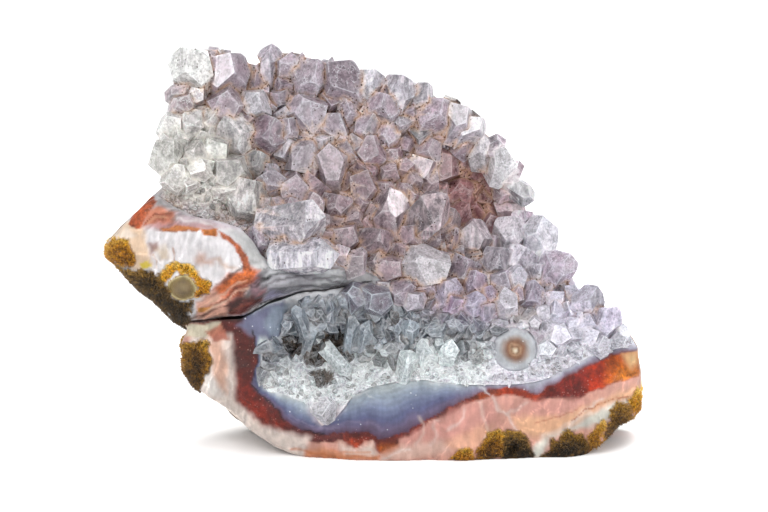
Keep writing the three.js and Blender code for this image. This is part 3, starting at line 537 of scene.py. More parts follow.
# Streaks in the stone: angle in degrees, strength and corners in pixels
STREAKS = [
    (35, 0.6, [(188, 324), (198, 300), (214, 285), (240, 264), (262, 262), (272, 286), (244, 318)]),
    (8, 0.6, [(255, 300), (262, 268), (300, 264), (352, 266), (356, 288), (300, 294), (262, 306)]),
    (28, 0.5, [(127, 228), (146, 198), (162, 196), (182, 214), (180, 232), (140, 232)]),
    (85, 0.15, [(142, 232), (200, 234), (240, 240), (252, 262), (206, 290), (150, 268)]),
    (80, 0.2, [(200, 334), (232, 334), (236, 400), (290, 440), (240, 430), (200, 392)]),
]
STREAK_LENGTH = 5.0
STREAK_WIDTH = 0.45
STREAK_EDGE = 1.5

# Colours across the bands by band place, from the pink rim to the pale quartz
PINK = (229, 172, 154)
BAND_COLORS = [
    (0.0, PINK), (0.96, PINK), (1.04, (128, 40, 30)), (1.9, (116, 42, 38)), (2.02, (96, 72, 98)),
    (2.12, (116, 102, 132)), (2.28, (98, 102, 140)), (2.48, (128, 138, 168)), (2.68, (160, 172, 188)),
    (2.85, (190, 200, 204)), (3.0, (214, 222, 222)), (4.0, (226, 226, 230)),
]
RIGHT_BLUE_COLORS = [
    (0.0, PINK), (0.96, PINK), (1.04, (130, 50, 36)), (1.9, (132, 62, 54)), (2.05, (142, 116, 132)),
    (2.3, (164, 156, 176)), (2.8, (196, 202, 212)), (3.0, (210, 216, 222)), (4.0, (200, 198, 206)),
]
BANDING = 0.07
BANDING_RATE = 56.0
PINK_DEPTH = 9.0            # mm over which the outer and the pale quartz band count up
PALE_DEPTH = 8.0
NARROWEST_BAND = 0.05
FAR = 200.0                 # past the whole stone
# Band places where a look begins and is whole
BANDED = (1.9, 2.1)
RED_BEGINS = (0.97, 1.03)
RED_ENDS = (2.0, 1.9)
BLUE_BEGINS = (1.95, 2.1)
# Band places where the chips' painted light and shade begin and are whole
CHIP_LIGHT_BANDS = (2.0, 1.8)
BLUE_SPLIT_PX = (440, 500)  # between the two sets of colours

DIRT_COLOR = (110, 74, 50)
SPECK_COLOR = (50, 29, 23)
# The wall's broken edge: depth in mm behind the crystals' bed, and colour
WALL_COLORS = [
    (0.0, (226, 218, 222)), (0.6, (214, 208, 214)), (1.2, (176, 178, 192)), (1.8, (206, 206, 214)),
    (2.4, (158, 164, 184)), (3.0, (190, 190, 202)), (3.6, (206, 172, 158)), (4.6, (178, 120, 96)),
]
WALL_SHADE = 0.75
INNER_HUE = (0.8, 0.66, 0.7)
MAUVE_HUES = [(0.0, (0.98, 0.98, 0.97)), (0.5, (0.90, 0.82, 0.86)), (1.0, (0.80, 0.66, 0.71))]
# Painted reflections and shade in the clear crystals: noise value and shade
GLASS_PAINTED_REFLECTIONS = [
    (0.37, (0.5, 0.53, 0.57)), (0.45, (0.9, 0.92, 0.96)), (0.53, (1.2, 1.22, 1.25)),
    (0.6, (2.0, 2.0, 2.0)),
]
# Colour of the painted highlights on the crystals' edges, also of the veils and growth lines
HIGHLIGHT_AND_VEIL_WHITE = (0.9, 0.92, 0.95)
HIGHLIGHT_AND_VEIL_WHITENESS = 0.3
SEAM_TAN = (200, 166, 138)
QUARTZ_IOR = 1.54
QUARTZ_SPECULAR = 0.9
QUARTZ_ROUGHNESS = (0.02, 0.16)
CLARITY = (0.62, 0.2)       # light let through by the clearest and the milkiest crystal
STAINED_CLARITY = 0.15      # share of it left under the stain
# Painted light and shade of the crystal faces: darkest and lightest, drawn at random for each face
FACET_PAINTED_LIGHT = (0.72, 1.18)
CLEAR_CONTRAST = 1.3        # how much stronger it is in clear crystals
MIDDLE_FACET = 0.4          # the facet value that it leaves as it is
GRAIN_FACET = 0.95          # the facet value that the fine grains take, and by how much
GRAIN_SAMENESS = 0.6
# Brightness of the paints in this light
STONE_SHADE = 0.55
MOSS_SHADE = 0.72
QUARTZ_SHADE = 0.725
STONE_SPECULAR = 0.25
STONE_GLOW = (0.3, (1.0, 0.7, 0.6), 0.8)    # light under the surface: weight, radii and scale
QUARTZ_GLOW = (1.0, (1.0, 0.85, 0.9), 0.5)
FIBRE_ROUGHNESS = 0.55
STONE_ROUGHNESS = (0.3, 0.8)  # of the broken face, and of the rind and moss
# Pale specks: band, spacing in mm, radii as shares of it, size and limits of their clusters,
# strength and colour
STONE_SPECKS = [
    ("red", 0.5, (0.2, 0.32), 1.5, (0.54, 0.62), 0.4, (214, 160, 150)),
    ("blue", 0.9, (0.12, 0.2), 2.5, (0.56, 0.62), 0.8, (240, 244, 250)),
]

# Agate eye: radius in mm and colour
EYE_PX = (515, 349)
EYE_COLORS = [
    (0.0, (246, 240, 226)), (0.35, (226, 206, 176)), (0.7, (150, 112, 84)), (1.05, (196, 156, 124)),
    (1.4, (156, 110, 82)), (1.75, (150, 112, 92)), (2.3, (176, 160, 152)), (3.0, (200, 204, 208)),
    (4.4, (206, 212, 216)),
]
EYE_RADIUS = 4.2
EYE_EDGE = 1.5

# Moss: outline, the middle that its fibres spread from and its darkness
MOSS_PATCHES = [
    ([(106, 256), (106, 246), (112, 240), (120, 237), (130, 240), (134, 250), (136, 258), (130, 266),
        (116, 262)], (117, 255), 0.35),
    ([(160, 280), (162, 270), (170, 262), (186, 264), (198, 272), (208, 284), (206, 294), (196, 300),
        (198, 288), (192, 278), (182, 274), (172, 278), (166, 284)], (182, 288), 0.1),
    ([(104, 260), (120, 266), (134, 272), (142, 270), (156, 270), (164, 280), (170, 290), (182, 298),
        (194, 304), (192, 310), (190, 318), (184, 328), (158, 308), (130, 290)], (150, 284), 1.0),
    ([(182, 342), (200, 339), (208, 346), (214, 360), (210, 374), (204, 380), (198, 392), (182, 380)],
        (192, 366), 0.75),
    ([(450, 462), (456, 451), (468, 447), (476, 456), (478, 464)], (470, 464), 0.3),
    ([(476, 462), (478, 448), (486, 436), (498, 430), (504, 432), (506, 446), (502, 462)], (492, 462), 0.5),
    # Darkest patch: partly the moss's own dark colour, partly painted shade in the hollow under its arch
    ([(500, 462), (502, 440), (508, 430), (520, 433), (530, 440), (534, 452), (532, 462)], (512, 449), 1.0),
    ([(538, 464), (548, 450), (554, 440), (566, 432), (582, 434), (590, 444), (588, 456), (580, 464)],
        (580, 452), 0.95),
    ([(588, 456), (588, 436), (594, 424), (606, 424), (604, 436), (596, 450)], (596, 440), 0.5),
    ([(604, 436), (612, 418), (610, 408), (618, 402), (628, 404), (634, 416), (620, 440)], (620, 418), 0.8),
    ([(630, 410), (629, 398), (638, 390), (650, 400), (640, 416)], (646, 410), 0.1),
]
MOSS_EDGE = 0.5
MOSS_TONE = (0.3, 0.45, 0.12, 0.24)  # share of its darkness, lowness, depth and random shade
MOSS_SEEDS = (3, 4)
MOSS_LAYERS = ((0.7, 1.6, 0), (0.35, 0.6, 5))  # unevenness of its edge, in the same form
MOSS_DRIFT = 5.0            # how far its edge strays at the sides, at this depth behind the front
MOSS_DRIFT_DEPTH = 9.0
MOSS_DRIFT_LAYER = (5, 9)   # its size in mm and what it adds to the seed
MOSS_EYE_PX = (182, 288)
MOSS_EYE_RADIUS = 2.6
MOSS_EYE_EDGE = 0.3
MOSS_EYE_BLUR = 0.2
MOSS_EYE_COLORS = [(0.0, (150, 132, 96)), (1.2, (124, 104, 72)), (2.0, (136, 116, 70)),
                   (2.35, (214, 200, 150)), (2.5, (160, 120, 50)), (2.7, (120, 88, 36))]
FIBRE_COUNT = 16000
FIBRE_RADIUS = (0.06, 0.11)
FIBRE_LENGTH = (0.2, 0.7)
FIBRE_CLEARANCE = 0.8       # lowest foot
FIBRE_JITTER = 0.12
FIBRE_SPREAD = 0.9          # how far the fibres lean out from the middle
FIBRE_DISORDER = 0.7
FIBRE_CALM = 0.5            # near the middle they lean less, within about this distance
FIBRE_ROOT = 0.2
FIBRE_FLOOR = 0.1           # lowest tip
FIBRE_SEED = 7
GOLD_MOSS = [(0.0, (250, 214, 110)), (0.2, (232, 176, 40)), (0.42, (206, 136, 20)),
             (0.65, (140, 84, 18)), (0.85, (74, 54, 26)), (1.0, (36, 30, 20))]
DARK_MOSS = [(0.0, (220, 180, 90)), (0.25, (176, 132, 50)), (0.5, (120, 90, 42)), (0.75, (66, 50, 28)),
             (1.0, (26, 22, 16))]

# Rind
RIND_BROWN = [(0.32, (44, 34, 24)), (0.45, (98, 72, 44)), (0.55, (136, 106, 70)), (0.68, (182, 158, 124))]
RIND_OLIVE = [(0.32, (36, 36, 28)), (0.5, (92, 84, 56)), (0.68, (160, 152, 118))]
PIT_COLOR = (38, 30, 24)
FLECK_COLOR = (206, 190, 162)

# Chips of the broken face and other relief, in mm
CHIP_SPACING = 4.2
CHIP_DEPTH = 0.5
CHIP_REACH = 1.5            # squared distance from a chip's middle where it is deepest
# Painted light and shade of each chip, and painted highlights on the ridges between them
CHIP_PAINTED_SHADES = (0.8, 1.1)
RIDGE_PAINTED_HIGHLIGHT = 0.45
RIDGE_HIGHLIGHT_WIDTH = 0.05          # share of the spacing
CHIP_SEED = 3
FRONT_FACING = (0.0, 0.6)   # how far a face looks forward where chips begin and are whole
RIND_EDGE = (2.6, 0.6)      # distance from the back where the rind begins and is whole
BED_EDGE = (-0.6, 0.8)      # and from the crust's edge where the wall's colours do
GROUND_FADE = (0.05, 1.5)   # heights between which the relief comes in
EDGE_WANDER = 0.35          # unevenness of the colours' edges
EDGE_SEEDS = (31, 47)
EDGE_LAYERS = ((1, 2.2, 0), (0.7, 0.8, 9))  # height, size in mm and what it adds to the seed

# Noises of the meshes: height, size in mm, octaves and seed
FACE_RELIEF = (0.08, 1.6, 2, 5)
RIND_RELIEF = (0.3, 5.0, 4, 11)
MOSS_RELIEF = (0.2, 1.3, 2, 21)
MOSS_TONES = (1, 0.6, 1, 77)
WALL_WANDER = (0.5, 2.5, 1, 53)
STREAK_WANDER = (0.5, 3.0, 1, 19)
STREAK_NOISE = (1, 1.0, 2, 23)
CHIP_WANDER = (1, 4, 1, 8)
# The painted highlights on the chips' ridges come and go by this noise
RIDGE_HIGHLIGHT_NOISE = (1, 3.0, 1, 61)
RIDGE_HIGHLIGHT_LIMITS = (-0.1, 0.5)  # of that noise, where ridges begin and are whole

# Patterns of the materials: size in mm, detail and roughness of the noise, two of its values
# and what they become
STONE_CLOUDS = (2.2, 4, 0.55, 0.3, 0.7, 0.82, 1.12)
STRANDS = (1.1, 3, 0.5, 0.35, 0.65, 0.86, 1.1)
UPRIGHT = (1, 1, 0.22)      # stretch of the strands
RED_MOTTLE = (0.9, 5, 0.7, 0.35, 0.65, 0.5, 1.25)
RED_CLOUDS = (3.0, 3, 0.55, 0.35, 0.65, 0.7, 1.25)
FIBRE_TONES = (0.5, 3, 0.55, 0.3, 0.7, 0.7, 1.35)
MOSS_CLUMPS = (1.8, 3, 0.55, 0.35, 0.65, 0.55, 1.3)
MOSS_GRAINS = (0.5, 5, 0.75, 0.38, 0.62, 0.15, 1.7)
OLIVE_PATCHES = (9.0, 4, 0.55, 0.45, 0.6, 0, 1)
RIND_CLOUDS = (14.0, 2, 0.55, 0.35, 0.65, 0.75, 1.2)
RIND_PITS = (1.0, 5, 0.7, 0.41, 0.35, 0, 1)
RIND_FLECKS = (1.3, 6, 0.75, 0.6, 0.68, 0, 0.8)
INNER_CLOUDS = (1.3, 3, 0.6, 0.36, 0.64, 0.76, 1.26)
VEIL_PLACES = (2.0, 2, 0.55, 0.46, 0.58, 0, 1)
DIRT_PLACES = (1.1, 4, 0.55, 0.47, 0.54, 0, 1)
DIRT_BREAKS = (0.4, 3, 0.7, 0.42, 0.54, 0.15, 1)
GRAIN_PLACES = (1.8, 3, 0.55, 0.42, 0.52, 0, 1)
SPECK_PLACES = (2.5, 3, 0.55, 0.5, 0.58, 0, 1)

# Marks by their distance in mm from the seams or the crystals' edges: two distances and the
# mark's strength there
# Painted highlight along the crystals' edges
RIM_HIGHLIGHT_SHAPE = (0.02, 0.2, 1, 0)
RIM_HIGHLIGHT_STRENGTH = (0.5, 0.9)   # on the large crystals and on the fragments
GLOW_REACH = (0.0, 0.9, 0.8, 0)
DIRT_SHAPE = (0.06, 0.28, 0.9, 0)
GRAIN_REACH = (0.3, 0.9, 1, 0)
DEPTH_REACH = (0.1, 1.1)
CLEAN_SPECKS = 0.3          # share of the specks in the clean zones

# Growth lines and veils, the limits of a value and what it becomes there
GROWTH_RATE = 0.45
GROWTH_WAVINESS = 1.5
GROWTH_SHAPE = (0.6, 0.9, 0, 0.75)
LINED_FACETS = (0.75, 0.8)
LINED_CRYSTALS = (0.4, 0.2)  # by their milk
VEIL_SHAPE = (0.0, 0.0006, 0.7, 0)
DEPTH_HUES = (0.2, 0.9, 0.1, 1.0)  # by mauve
# The faces' painted light and shade grow stronger in clear crystals, by milk
CLEAR_FACES = (0.45, 0.25)  # by milk, where the faces differ more
# Where the painted reflections show, by milk
CLEAR_REFLECTION_STREAKS = (0.1, 0.6, 1, 0)

# Noises that are there already: two values and what they become
MILK_GRAIN = (0.35, 0.65, 0.7, 1.3)
CRYSTAL_GRAIN = (0.35, 0.65, 0.76, 1.16)
ROUGH_GRAIN = (0.45, 0.7)
GLOW_PATCHES = (0.35, 0.58)
RIM_HIGHLIGHT_PATCHES = (0.6, 0.42)

# Plain noises of the materials: size in mm, detail, roughness, turn and stretch
FINE_NOISE = (0.45, 4, 0.65)
PATCH_NOISE = (2.4, 3)
VEIL_NOISE = (1.3, 4, 0.6)
BROWN_NOISE = (1.6, 8, 0.75)
OLIVE_NOISE = (1.2, 8, 0.75)
GLASS_NOISE = (1.1, 4, 0.65, (0.5, 0.4, 0.6), (1, 1, 0.3))
STONE_BUMPS = ((0.5, 4, 0.7), (2.0, 6, 0.7))  # fine and coarse
COARSE_BUMPS = 2.5          # height of the coarse ones over the fine
FIBRE_BUMPS = (0.2, 2)
QUARTZ_BUMPS = (0.6, 4, 0.7)
QUARTZ_ROUGH = 0.1          # height of these over the sugary grains
STONE_BUMP = 0.5            # depth of the bumps in mm
FIBRE_BUMP = 0.05
QUARTZ_BUMP = 0.3
BARE_BUMP = 0.15            # share of the bumps on the broken face
SUGAR_CELL = 0.5
GRAIN_DOTS = (0.75, 0.2, 0.3)    # spacing in mm and radii as shares of it
SPECK_DOTS = (0.95, 0.14, 0.2)


# Picture geometry
def to_plane(points):
    """Pixels of the picture to millimetres from its centre."""
    points = np.array(points, float)
    points[:, 0] = (points[:, 0] - PICTURE_WIDTH / 2) * MM_PER_PX
    points[:, 1] = (PICTURE_HEIGHT / 2 - points[:, 1]) * MM_PER_PX
    return points


def place_at(u, v, y):
    """The points at picture places (u, v) and depth y."""
    away = (y - v * SINE) / (COSINE + v * SINE / VIEW_DISTANCE)
    scale = 1 + away / VIEW_DISTANCE
    return np.stack([AIM[0] + scale * u, y + 0 * u, AIM[2] - away * SINE + scale * v * COSINE], -1)


def picture_place(points):
    """The picture places of points, the inverse of place_at."""
    across = points[:, 0] - AIM[0]
    deep = points[:, 1]
    high = points[:, 2] - AIM[2]
    away = deep * COSINE - high * SINE
    scale = 1 + away / VIEW_DISTANCE
    return across / scale, (deep * SINE + high * COSINE) / scale


def depth_field(points, softness):
    sites = to_plane(points)

    def depth(u, v):
        total = np.zeros_like(u)
        weights = np.zeros_like(u)
        for site_u, site_v, value in sites:
            weight = 1 / ((u - site_u) ** 2 + (v - site_v) ** 2 + softness ** 2) ** 2
            total += weight * value
            weights += weight
        return total / weights

    return depth


def line_distance(line, u, v, closed):
    """Distance of picture places from a line of points."""
    nearest = np.full(np.shape(u), np.inf)
    ends = np.roll(line, -1, axis=0) if closed else line[1:]
    for (au, av), (bu, bv) in zip(line if closed else line[:-1], ends):
        length = (bu - au) ** 2 + (bv - av) ** 2
        along = np.clip(((u - au) * (bu - au) + (v - av) * (bv - av)) / length, 0, 1)
        nearest = np.minimum(nearest, np.hypot(u - au - along * (bu - au), v - av - along * (bv - av)))
    return nearest


def inside_distance(outline, u, v):
    """Distance from a closed outline, positive inside."""
    inside = np.zeros(np.shape(u), bool)
    for (au, av), (bu, bv) in zip(outline, np.roll(outline, -1, axis=0)):
        if au == bu and av == bv:
            continue
        spans = (av > v) != (bv > v)
        crossing = (bu - au) * (v - av) / (bv - av if bv != av else TINY) + au
        inside ^= spans & (u < crossing)
    return np.where(inside, 1, -1) * line_distance(outline, u, v, True)


def smooth(low, high, value):
    part = np.clip((value - low) / (high - low), 0, 1)
    return part * part * (3 - 2 * part)


def edge_round(distance, radius):
    left = np.clip(1 - distance / radius, 0, 1)
    return radius * (1 - np.sqrt(1 - left * left))


# Noise
def lattice_value(x, y, z, seed):
    mixed = (x * 374761393 + y * 668265263 + z * 1274126177 + seed * 974634777) & 0xFFFFFFFF
    mixed = ((mixed ^ (mixed >> 13)) * 1103515245) & 0xFFFFFFFF
    mixed = ((mixed ^ (mixed >> 16)) * 2246822519) & 0xFFFFFFFF
    return (mixed ^ (mixed >> 15)) / 4294967296


def value_noise(points, size, seed):
    """Smooth noise between -1 and 1 with cells of the given size."""
    cells = points / size
    low = np.floor(cells).astype(np.int64)
    part = cells - low
    part = part * part * (3 - 2 * part)
    total = np.zeros(len(points))
    for corner in range(8):
        step = np.array([corner & 1, corner >> 1 & 1, corner >> 2 & 1])
        weight = np.prod(np.where(step, part, 1 - part), axis=1)
        x, y, z = (low + step).T
        total += weight * lattice_value(x, y, z, seed)
    return 2 * total - 1


def layered_noise(points, seed, layers):
    """Smooth noises added up: height, size in mm and what each adds to the seed."""
    return sum(height * value_noise(points, size, seed + step) for height, size, step in layers)


def seeded_noise(points, setting):
    """Noise in ever finer octaves, by one of the settings at the top."""
    height, size, octaves, seed = setting
    layers = [(0.5 ** octave, size * 0.5 ** octave, octave) for octave in range(octaves)]
    return height * layered_noise(points, seed, layers)


outline = to_plane(OUTLINE_PX)
block_outline = to_plane(BLOCK_PX)
crust_outline = to_plane(CRUST_PX)
front_field = depth_field(FRONT_POINTS, FRONT_SOFTNESS)
back_field = depth_field(BACK_POINTS, BACK_SOFTNESS)
block_field = depth_field(BLOCK_FRONT_POINTS, FRONT_SOFTNESS)
lumps = [(*to_plane([(px, py)])[0], radius, height) for px, py, radius, height in LUMPS]


def lump_height(u, v):
    height = np.zeros_like(u)
    for lump_u, lump_v, radius, rise in lumps:
        away = np.minimum(np.hypot(u - lump_u, v - lump_v) / radius, 1)
        height += rise * (1 - away * away) ** 2
    return height


def rind_lumps(u, v):
    large = np.sin(0.47 * u + 1.7 * np.sin(0.29 * v)) * np.sin(0.41 * v + 0.8)
    small = np.sin(1.31 * u + 0.7 * v) * np.sin(1.13 * v - 0.5 * u + 2)
    return LARGE_RIND_LUMP * large + SMALL_RIND_LUMP * small


def front_depth(u, v):
    edge = inside_distance(outline, u, v)
    return front_field(u, v) + edge_round(edge, RIM_RADIUS) * RIM_ROUNDING - lump_height(u, v)


def crystal_front(u, v):
    """The surface that the crystals stand on, with its hollows."""
    return front_field(u, v) - lump_height(u, v)


def crust_back(u, v):
    return crystal_front(u, v) + CRUST_DEPTH


def crust_distance(u, v):
    """Distance from the edge of the crystals, positive among them; the agate eye is bare."""
    eye_u, eye_v = to_plane([EYE_PX])[0]
    return np.minimum(inside_distance(crust_outline, u, v), np.hypot(u - eye_u, v - eye_v) - EYE_RADIUS)


def rock_front(u, v):
    """The front of the rock, set back where crystals line it."""
    return front_depth(u, v) + PLAIN_WALL * smooth(0, WALL_EDGE, crust_distance(u, v))


def back_depth(u, v):
    edge = inside_distance(outline, u, v)
    depth = back_field(u, v) - edge_round(edge, BACK_RADIUS) * BACK_ROUNDING + rind_lumps(u, v)
    return np.maximum(depth, rock_front(u, v) + RIM_THICKNESS)


def block_depth(u, v):
    edge = inside_distance(block_outline, u, v)
    return block_field(u, v) + edge_round(edge, RIM_RADIUS / 2) - lump_height(u, v)


# Meshes
def add_object(name, data):
    obj = bpy.data.objects.new(name, data)
    bpy.context.scene.collection.objects.link(obj)
    return obj


def new_object(name, vertices, faces):
    mesh = bpy.data.meshes.new(name)
    mesh.from_pydata(np.asarray(vertices).tolist(), [], faces)
    mesh.update()
    return add_object(name, mesh)


def slab(name, front, back, step):
    """A closed sheet over the whole stone between two depth surfaces."""
    count = round(SHEET_SIZE / step) + 1
    line = np.linspace(-SHEET_SIZE / 2, SHEET_SIZE / 2, count)
    u, v = (grid.ravel() for grid in np.meshgrid(line, line))
    vertices = np.concatenate([place_at(u, v, front(u, v)), place_at(u, v, back(u, v))])
    corner = (np.arange(count - 1)[:, None] * count + np.arange(count - 1)).ravel()
    near = np.stack([corner, corner + 1, corner + count + 1, corner + count], 1)
    far = near[:, ::-1] + count * count
    sides = [(0, 1, 1), (count * (count - 1), 1, -1), (0, count, -1), (count - 1, count, 1)]
    walls = [side_wall(count, *side) for side in sides]
    return new_object(name, vertices, np.concatenate([near, far, *walls]).tolist())


def side_wall(count, start, stride, way):
    """The faces that join the two surfaces along one side of a sheet."""
    edge = start + np.arange(count - 1) * stride
    wall = np.stack([edge, edge + count * count, edge + stride + count * count, edge + stride], 1)
    return wall[:, ::way]


def sight_prism(name, edge, near_y=-REACH_Y, far_y=REACH_Y):
    """Everything that the viewer sees inside an outline, between two depths."""
    count = len(edge)
    u, v = edge[:, 0], edge[:, 1]
    vertices = np.concatenate([place_at(u, v, np.full(count, y)) for y in (near_y, far_y)])
    faces = [list(range(count))[::-1], [count + i for i in range(count)]]
    for i in range(count):
        after = (i + 1) % count
        faces.append([i, after, after + count, i + count])
    return new_object(name, vertices, faces)


def evaluated(obj):
    """Replaces an object's mesh by the one that its modifiers make."""
    depsgraph = bpy.context.evaluated_depsgraph_get()
    mesh = bpy.data.meshes.new_from_object(obj.evaluated_get(depsgraph))
    obj.modifiers.clear()
    obj.data = mesh
    return obj


def combine(obj, other, operation):
    modifier = obj.modifiers.new("combine", "BOOLEAN")
    modifier.operation = operation
    modifier.solver = "MANIFOLD"
    modifier.object = other
    evaluated(obj)
    bpy.data.objects.remove(other)
    return obj


def vertex_array(mesh):
    values = np.empty(len(mesh.vertices) * 3)
    mesh.vertices.foreach_get("co", values)
    return values.reshape(-1, 3)


def set_vertices(mesh, points):
    mesh.vertices.foreach_set("co", np.asarray(points, np.float32).ravel())
    mesh.update()


def normal_array(mesh):
    values = np.empty(len(mesh.vertices) * 3, np.float32)
    mesh.vertices.foreach_get("normal", values)
    return values.reshape(-1, 3).astype(float)


def set_attribute(mesh, name, values, domain="POINT"):
    mesh.attributes.new(name, "FLOAT", domain).data.foreach_set("value", np.asarray(values, np.float32))


def set_color(mesh, name, colors, domain="POINT"):
    values = np.ones((len(colors), 4), np.float32)
    values[:, :3] = colors
    mesh.attributes.new(name, "FLOAT_COLOR", domain).data.foreach_set("color", values.ravel())


def set_face_values(mesh, columns):
    """Writes the values that each crystal face carries, as arrays or single numbers."""
    for name, column in zip(FACE_VALUES, columns):
        set_attribute(mesh, name, np.zeros(len(mesh.polygons)) + column, "FACE")


def unit(vectors):
    return vectors / np.linalg.norm(vectors, axis=1)[:, None]


def finish_mesh(obj, piece_nodes, material):
    """Moves a piece to the part's frame in metres and binds it to the model."""
    set_vertices(obj.data, (vertex_array(obj.data) - BOX_MIDDLE) * MM)
    obj.data.materials.clear()
    obj.data.materials.append(material)
    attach(obj, "root")
    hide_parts(*piece_nodes)


def ground_block():
    """All that is below the resting plane."""
    corners = [(x, y, z) for x in (-1, 1) for y in (-1, 1) for z in (-2, 0)]
    return new_object("ground_cut", GROUND_REACH * np.array(corners), BOX_FACES)


# Rock
def rock_body():
    body = slab("agate_rock", rock_front, back_depth, ROCK_STEP)
    combine(body, sight_prism("outline", outline), "INTERSECT")
    block = slab("block", block_depth, lambda u, v: np.full_like(u, BLOCK_BACK_Y), ROCK_STEP)
    combine(block, sight_prism("block_outline", block_outline), "INTERSECT")
    combine(body, block, "UNION")
    combine(body, ground_block(), "DIFFERENCE")
    modifier = body.modifiers.new("even", "REMESH")
    modifier.mode = "VOXEL"
    modifier.voxel_size = ROCK_VOXEL
    return evaluated(body)


def side_distance(line, u, v):
    """Distance from an open line that runs to the right, positive above it."""
    closed = np.concatenate([line, [[FAR, line[-1][1]], [FAR, FAR], [line[0][0], FAR]]])
    above = inside_distance(closed, u, v) > 0
    distance = line_distance(line, u, v, False)
    return np.where(above, distance, -distance)


def band_place(u, v):
    """0 at the rind, 1 at the red edge, 2 at the blue edge, 3 at the pale edge, and on to 4."""
    lines = [to_plane(line) for line in (RED_EDGE_PX, BLUE_EDGE_PX, PALE_EDGE_PX)]
    red, blue, pale = (side_distance(line, u, v) for line in lines)
    in_red = 1 + red / (red + np.maximum(-blue, NARROWEST_BAND))
    in_blue = 2 + blue / (blue + np.maximum(-pale, NARROWEST_BAND))
    band = np.where(red < 0, np.maximum(0, 1 + red / PINK_DEPTH), in_red)
    band = np.where(blue > 0, in_blue, band)
    return np.where(pale > 0, 3 + np.minimum(pale / PALE_DEPTH, 1), band)


def upper_share(u, v):
    """1 on the upper block and 0 on the lower one."""
    return patch_mask(UPPER_SPLIT_PX, u, v, UPPER_SPLIT_EDGE)


def linear(color):
    """An sRGB colour of 0 to 255 as linear shares."""
    share = np.asarray(color, float) / 255
    return np.where(share > 0.04045, ((share + 0.055) / 1.055) ** 2.4, share / 12.92)


def stops_color(place, stops):
    places = [stop[0] for stop in stops]
    colors = np.array([linear(stop[1]) for stop in stops])
    return np.stack([np.interp(place, places, channel) for channel in colors.T], -1)


def patch_mask(corners, u, v, softness):
    """1 inside a patch of pixels and 0 outside, with a soft edge."""
    patch = to_plane(corners)
    reach = softness + 0.1
    low, high = patch.min(axis=0) - reach, patch.max(axis=0) + reach
    near = (u > low[0]) & (u < high[0]) & (v > low[1]) & (v < high[1])
    mask = np.zeros(len(u))
    mask[near] = smooth(-softness / 2, softness / 2, inside_distance(patch, u[near], v[near]))
    return mask


def lay_paints(colors, paints, u, v, where):
    for color, strength, softness, corners in paints:
        mask = (strength * where * patch_mask(corners, u, v, softness))[:, None]
        colors = colors * (1 - mask) + linear(color) * mask
    return colors


def banded_colors(u, v, band):
    """The lower block's bands, with other blues towards the right."""
    split = (np.array(BLUE_SPLIT_PX) - PICTURE_WIDTH / 2) * MM_PER_PX
    right = smooth(*split, u)[:, None]
    colors = stops_color(band, BAND_COLORS) * (1 - right) + stops_color(band, RIGHT_BLUE_COLORS) * right
    colors *= 1 + BANDING * (np.sin(BANDING_RATE * band) * smooth(*BANDED, band))[:, None]
    in_red = smooth(*RED_BEGINS, band) * smooth(*RED_ENDS, band)
    paints = [(color, strength, RED_SOFTNESS, corners) for color, strength, corners in RED_PAINTS]
    return lay_paints(colors, paints, u, v, in_red)


def stone_colors(points, u, v):
    """The colour of each point of the stone's face, with painted light and shade on its chips."""
    shift = [EDGE_WANDER * layered_noise(points, seed, EDGE_LAYERS) for seed in EDGE_SEEDS]
    u = u + shift[0]
    v = v + shift[1]
    band = band_place(u, v)
    upper = upper_share(u, v)[:, None]
    colors = banded_colors(u, v, band) * (1 - upper) + linear(UPPER_GREY) * upper
    colors = lay_paints(colors, PAINTS, u, v, np.ones(len(u)))
    colors *= streak_shade(points, u, v)[:, None]
    colors = lay_marks_and_crack_shade(colors, u, v)
    colors = lay_rings(colors, u, v, EYE_PX, EYE_COLORS, EYE_EDGE)
    colors = lay_rings(colors, u, v, MOSS_EYE_PX, MOSS_EYE_COLORS, MOSS_EYE_BLUR)
    # Painted light and shade on the chips, with painted highlights on their ridges
    chips = 1 + (chip_painted_light(points, u, v) - 1) * smooth(*CHIP_LIGHT_BANDS, band)
    colors = STONE_SHADE * chips[:, None] * colors
    lined = smooth(*BED_EDGE, crust_distance(u, v))[:, None]
    return colors * (1 - lined) + wall_colors(points, u, v) * lined


def wall_colors(points, u, v):
    """The wall's broken edge, from the quartz under the crystals to the chalcedony behind it."""
    depth = points[:, 1] - rock_front(u, v) + seeded_noise(points, WALL_WANDER)
    return WALL_SHADE * stops_color(depth, WALL_COLORS) * crust_tints_and_shade(u, v)


def streak_shade(points, u, v):
    """Thin streaks along each zone's own direction."""
    shade = np.ones(len(u))
    for angle, strength, corners in STREAKS:
        turn = math.radians(angle)
        along = u * math.cos(turn) + v * math.sin(turn)
        across = v * math.cos(turn) - u * math.sin(turn) + seeded_noise(points, STREAK_WANDER)
        places = np.stack([along / STREAK_LENGTH, across / STREAK_WIDTH, 0 * u], 1)
        shade += strength * patch_mask(corners, u, v, STREAK_EDGE) * seeded_noise(places, STREAK_NOISE)
    return shade


def lay_marks_and_crack_shade(colors, u, v):
    for color, half_width, strength, points in MARKS_AND_CRACK_SHADE:
        line = to_plane(points)
        low, high = line.min(axis=0) - 1, line.max(axis=0) + 1
        near = np.flatnonzero((u > low[0]) & (u < high[0]) & (v > low[1]) & (v < high[1]))
        away = line_distance(line, u[near], v[near], False)
        mask = strength * np.exp(-(away / half_width) ** 2)[:, None]
        colors[near] = colors[near] * (1 - mask) + linear(color) * mask
    return colors


def lay_rings(colors, u, v, middle, stops, softness):
    """Concentric rings round a pixel."""
    middle_u, middle_v = to_plane([middle])[0]
    away = np.hypot(u - middle_u, v - middle_v)
    mask = smooth(stops[-1][0], stops[-1][0] - softness, away)[:, None]
    return colors * (1 - mask) + stops_color(away, stops) * mask


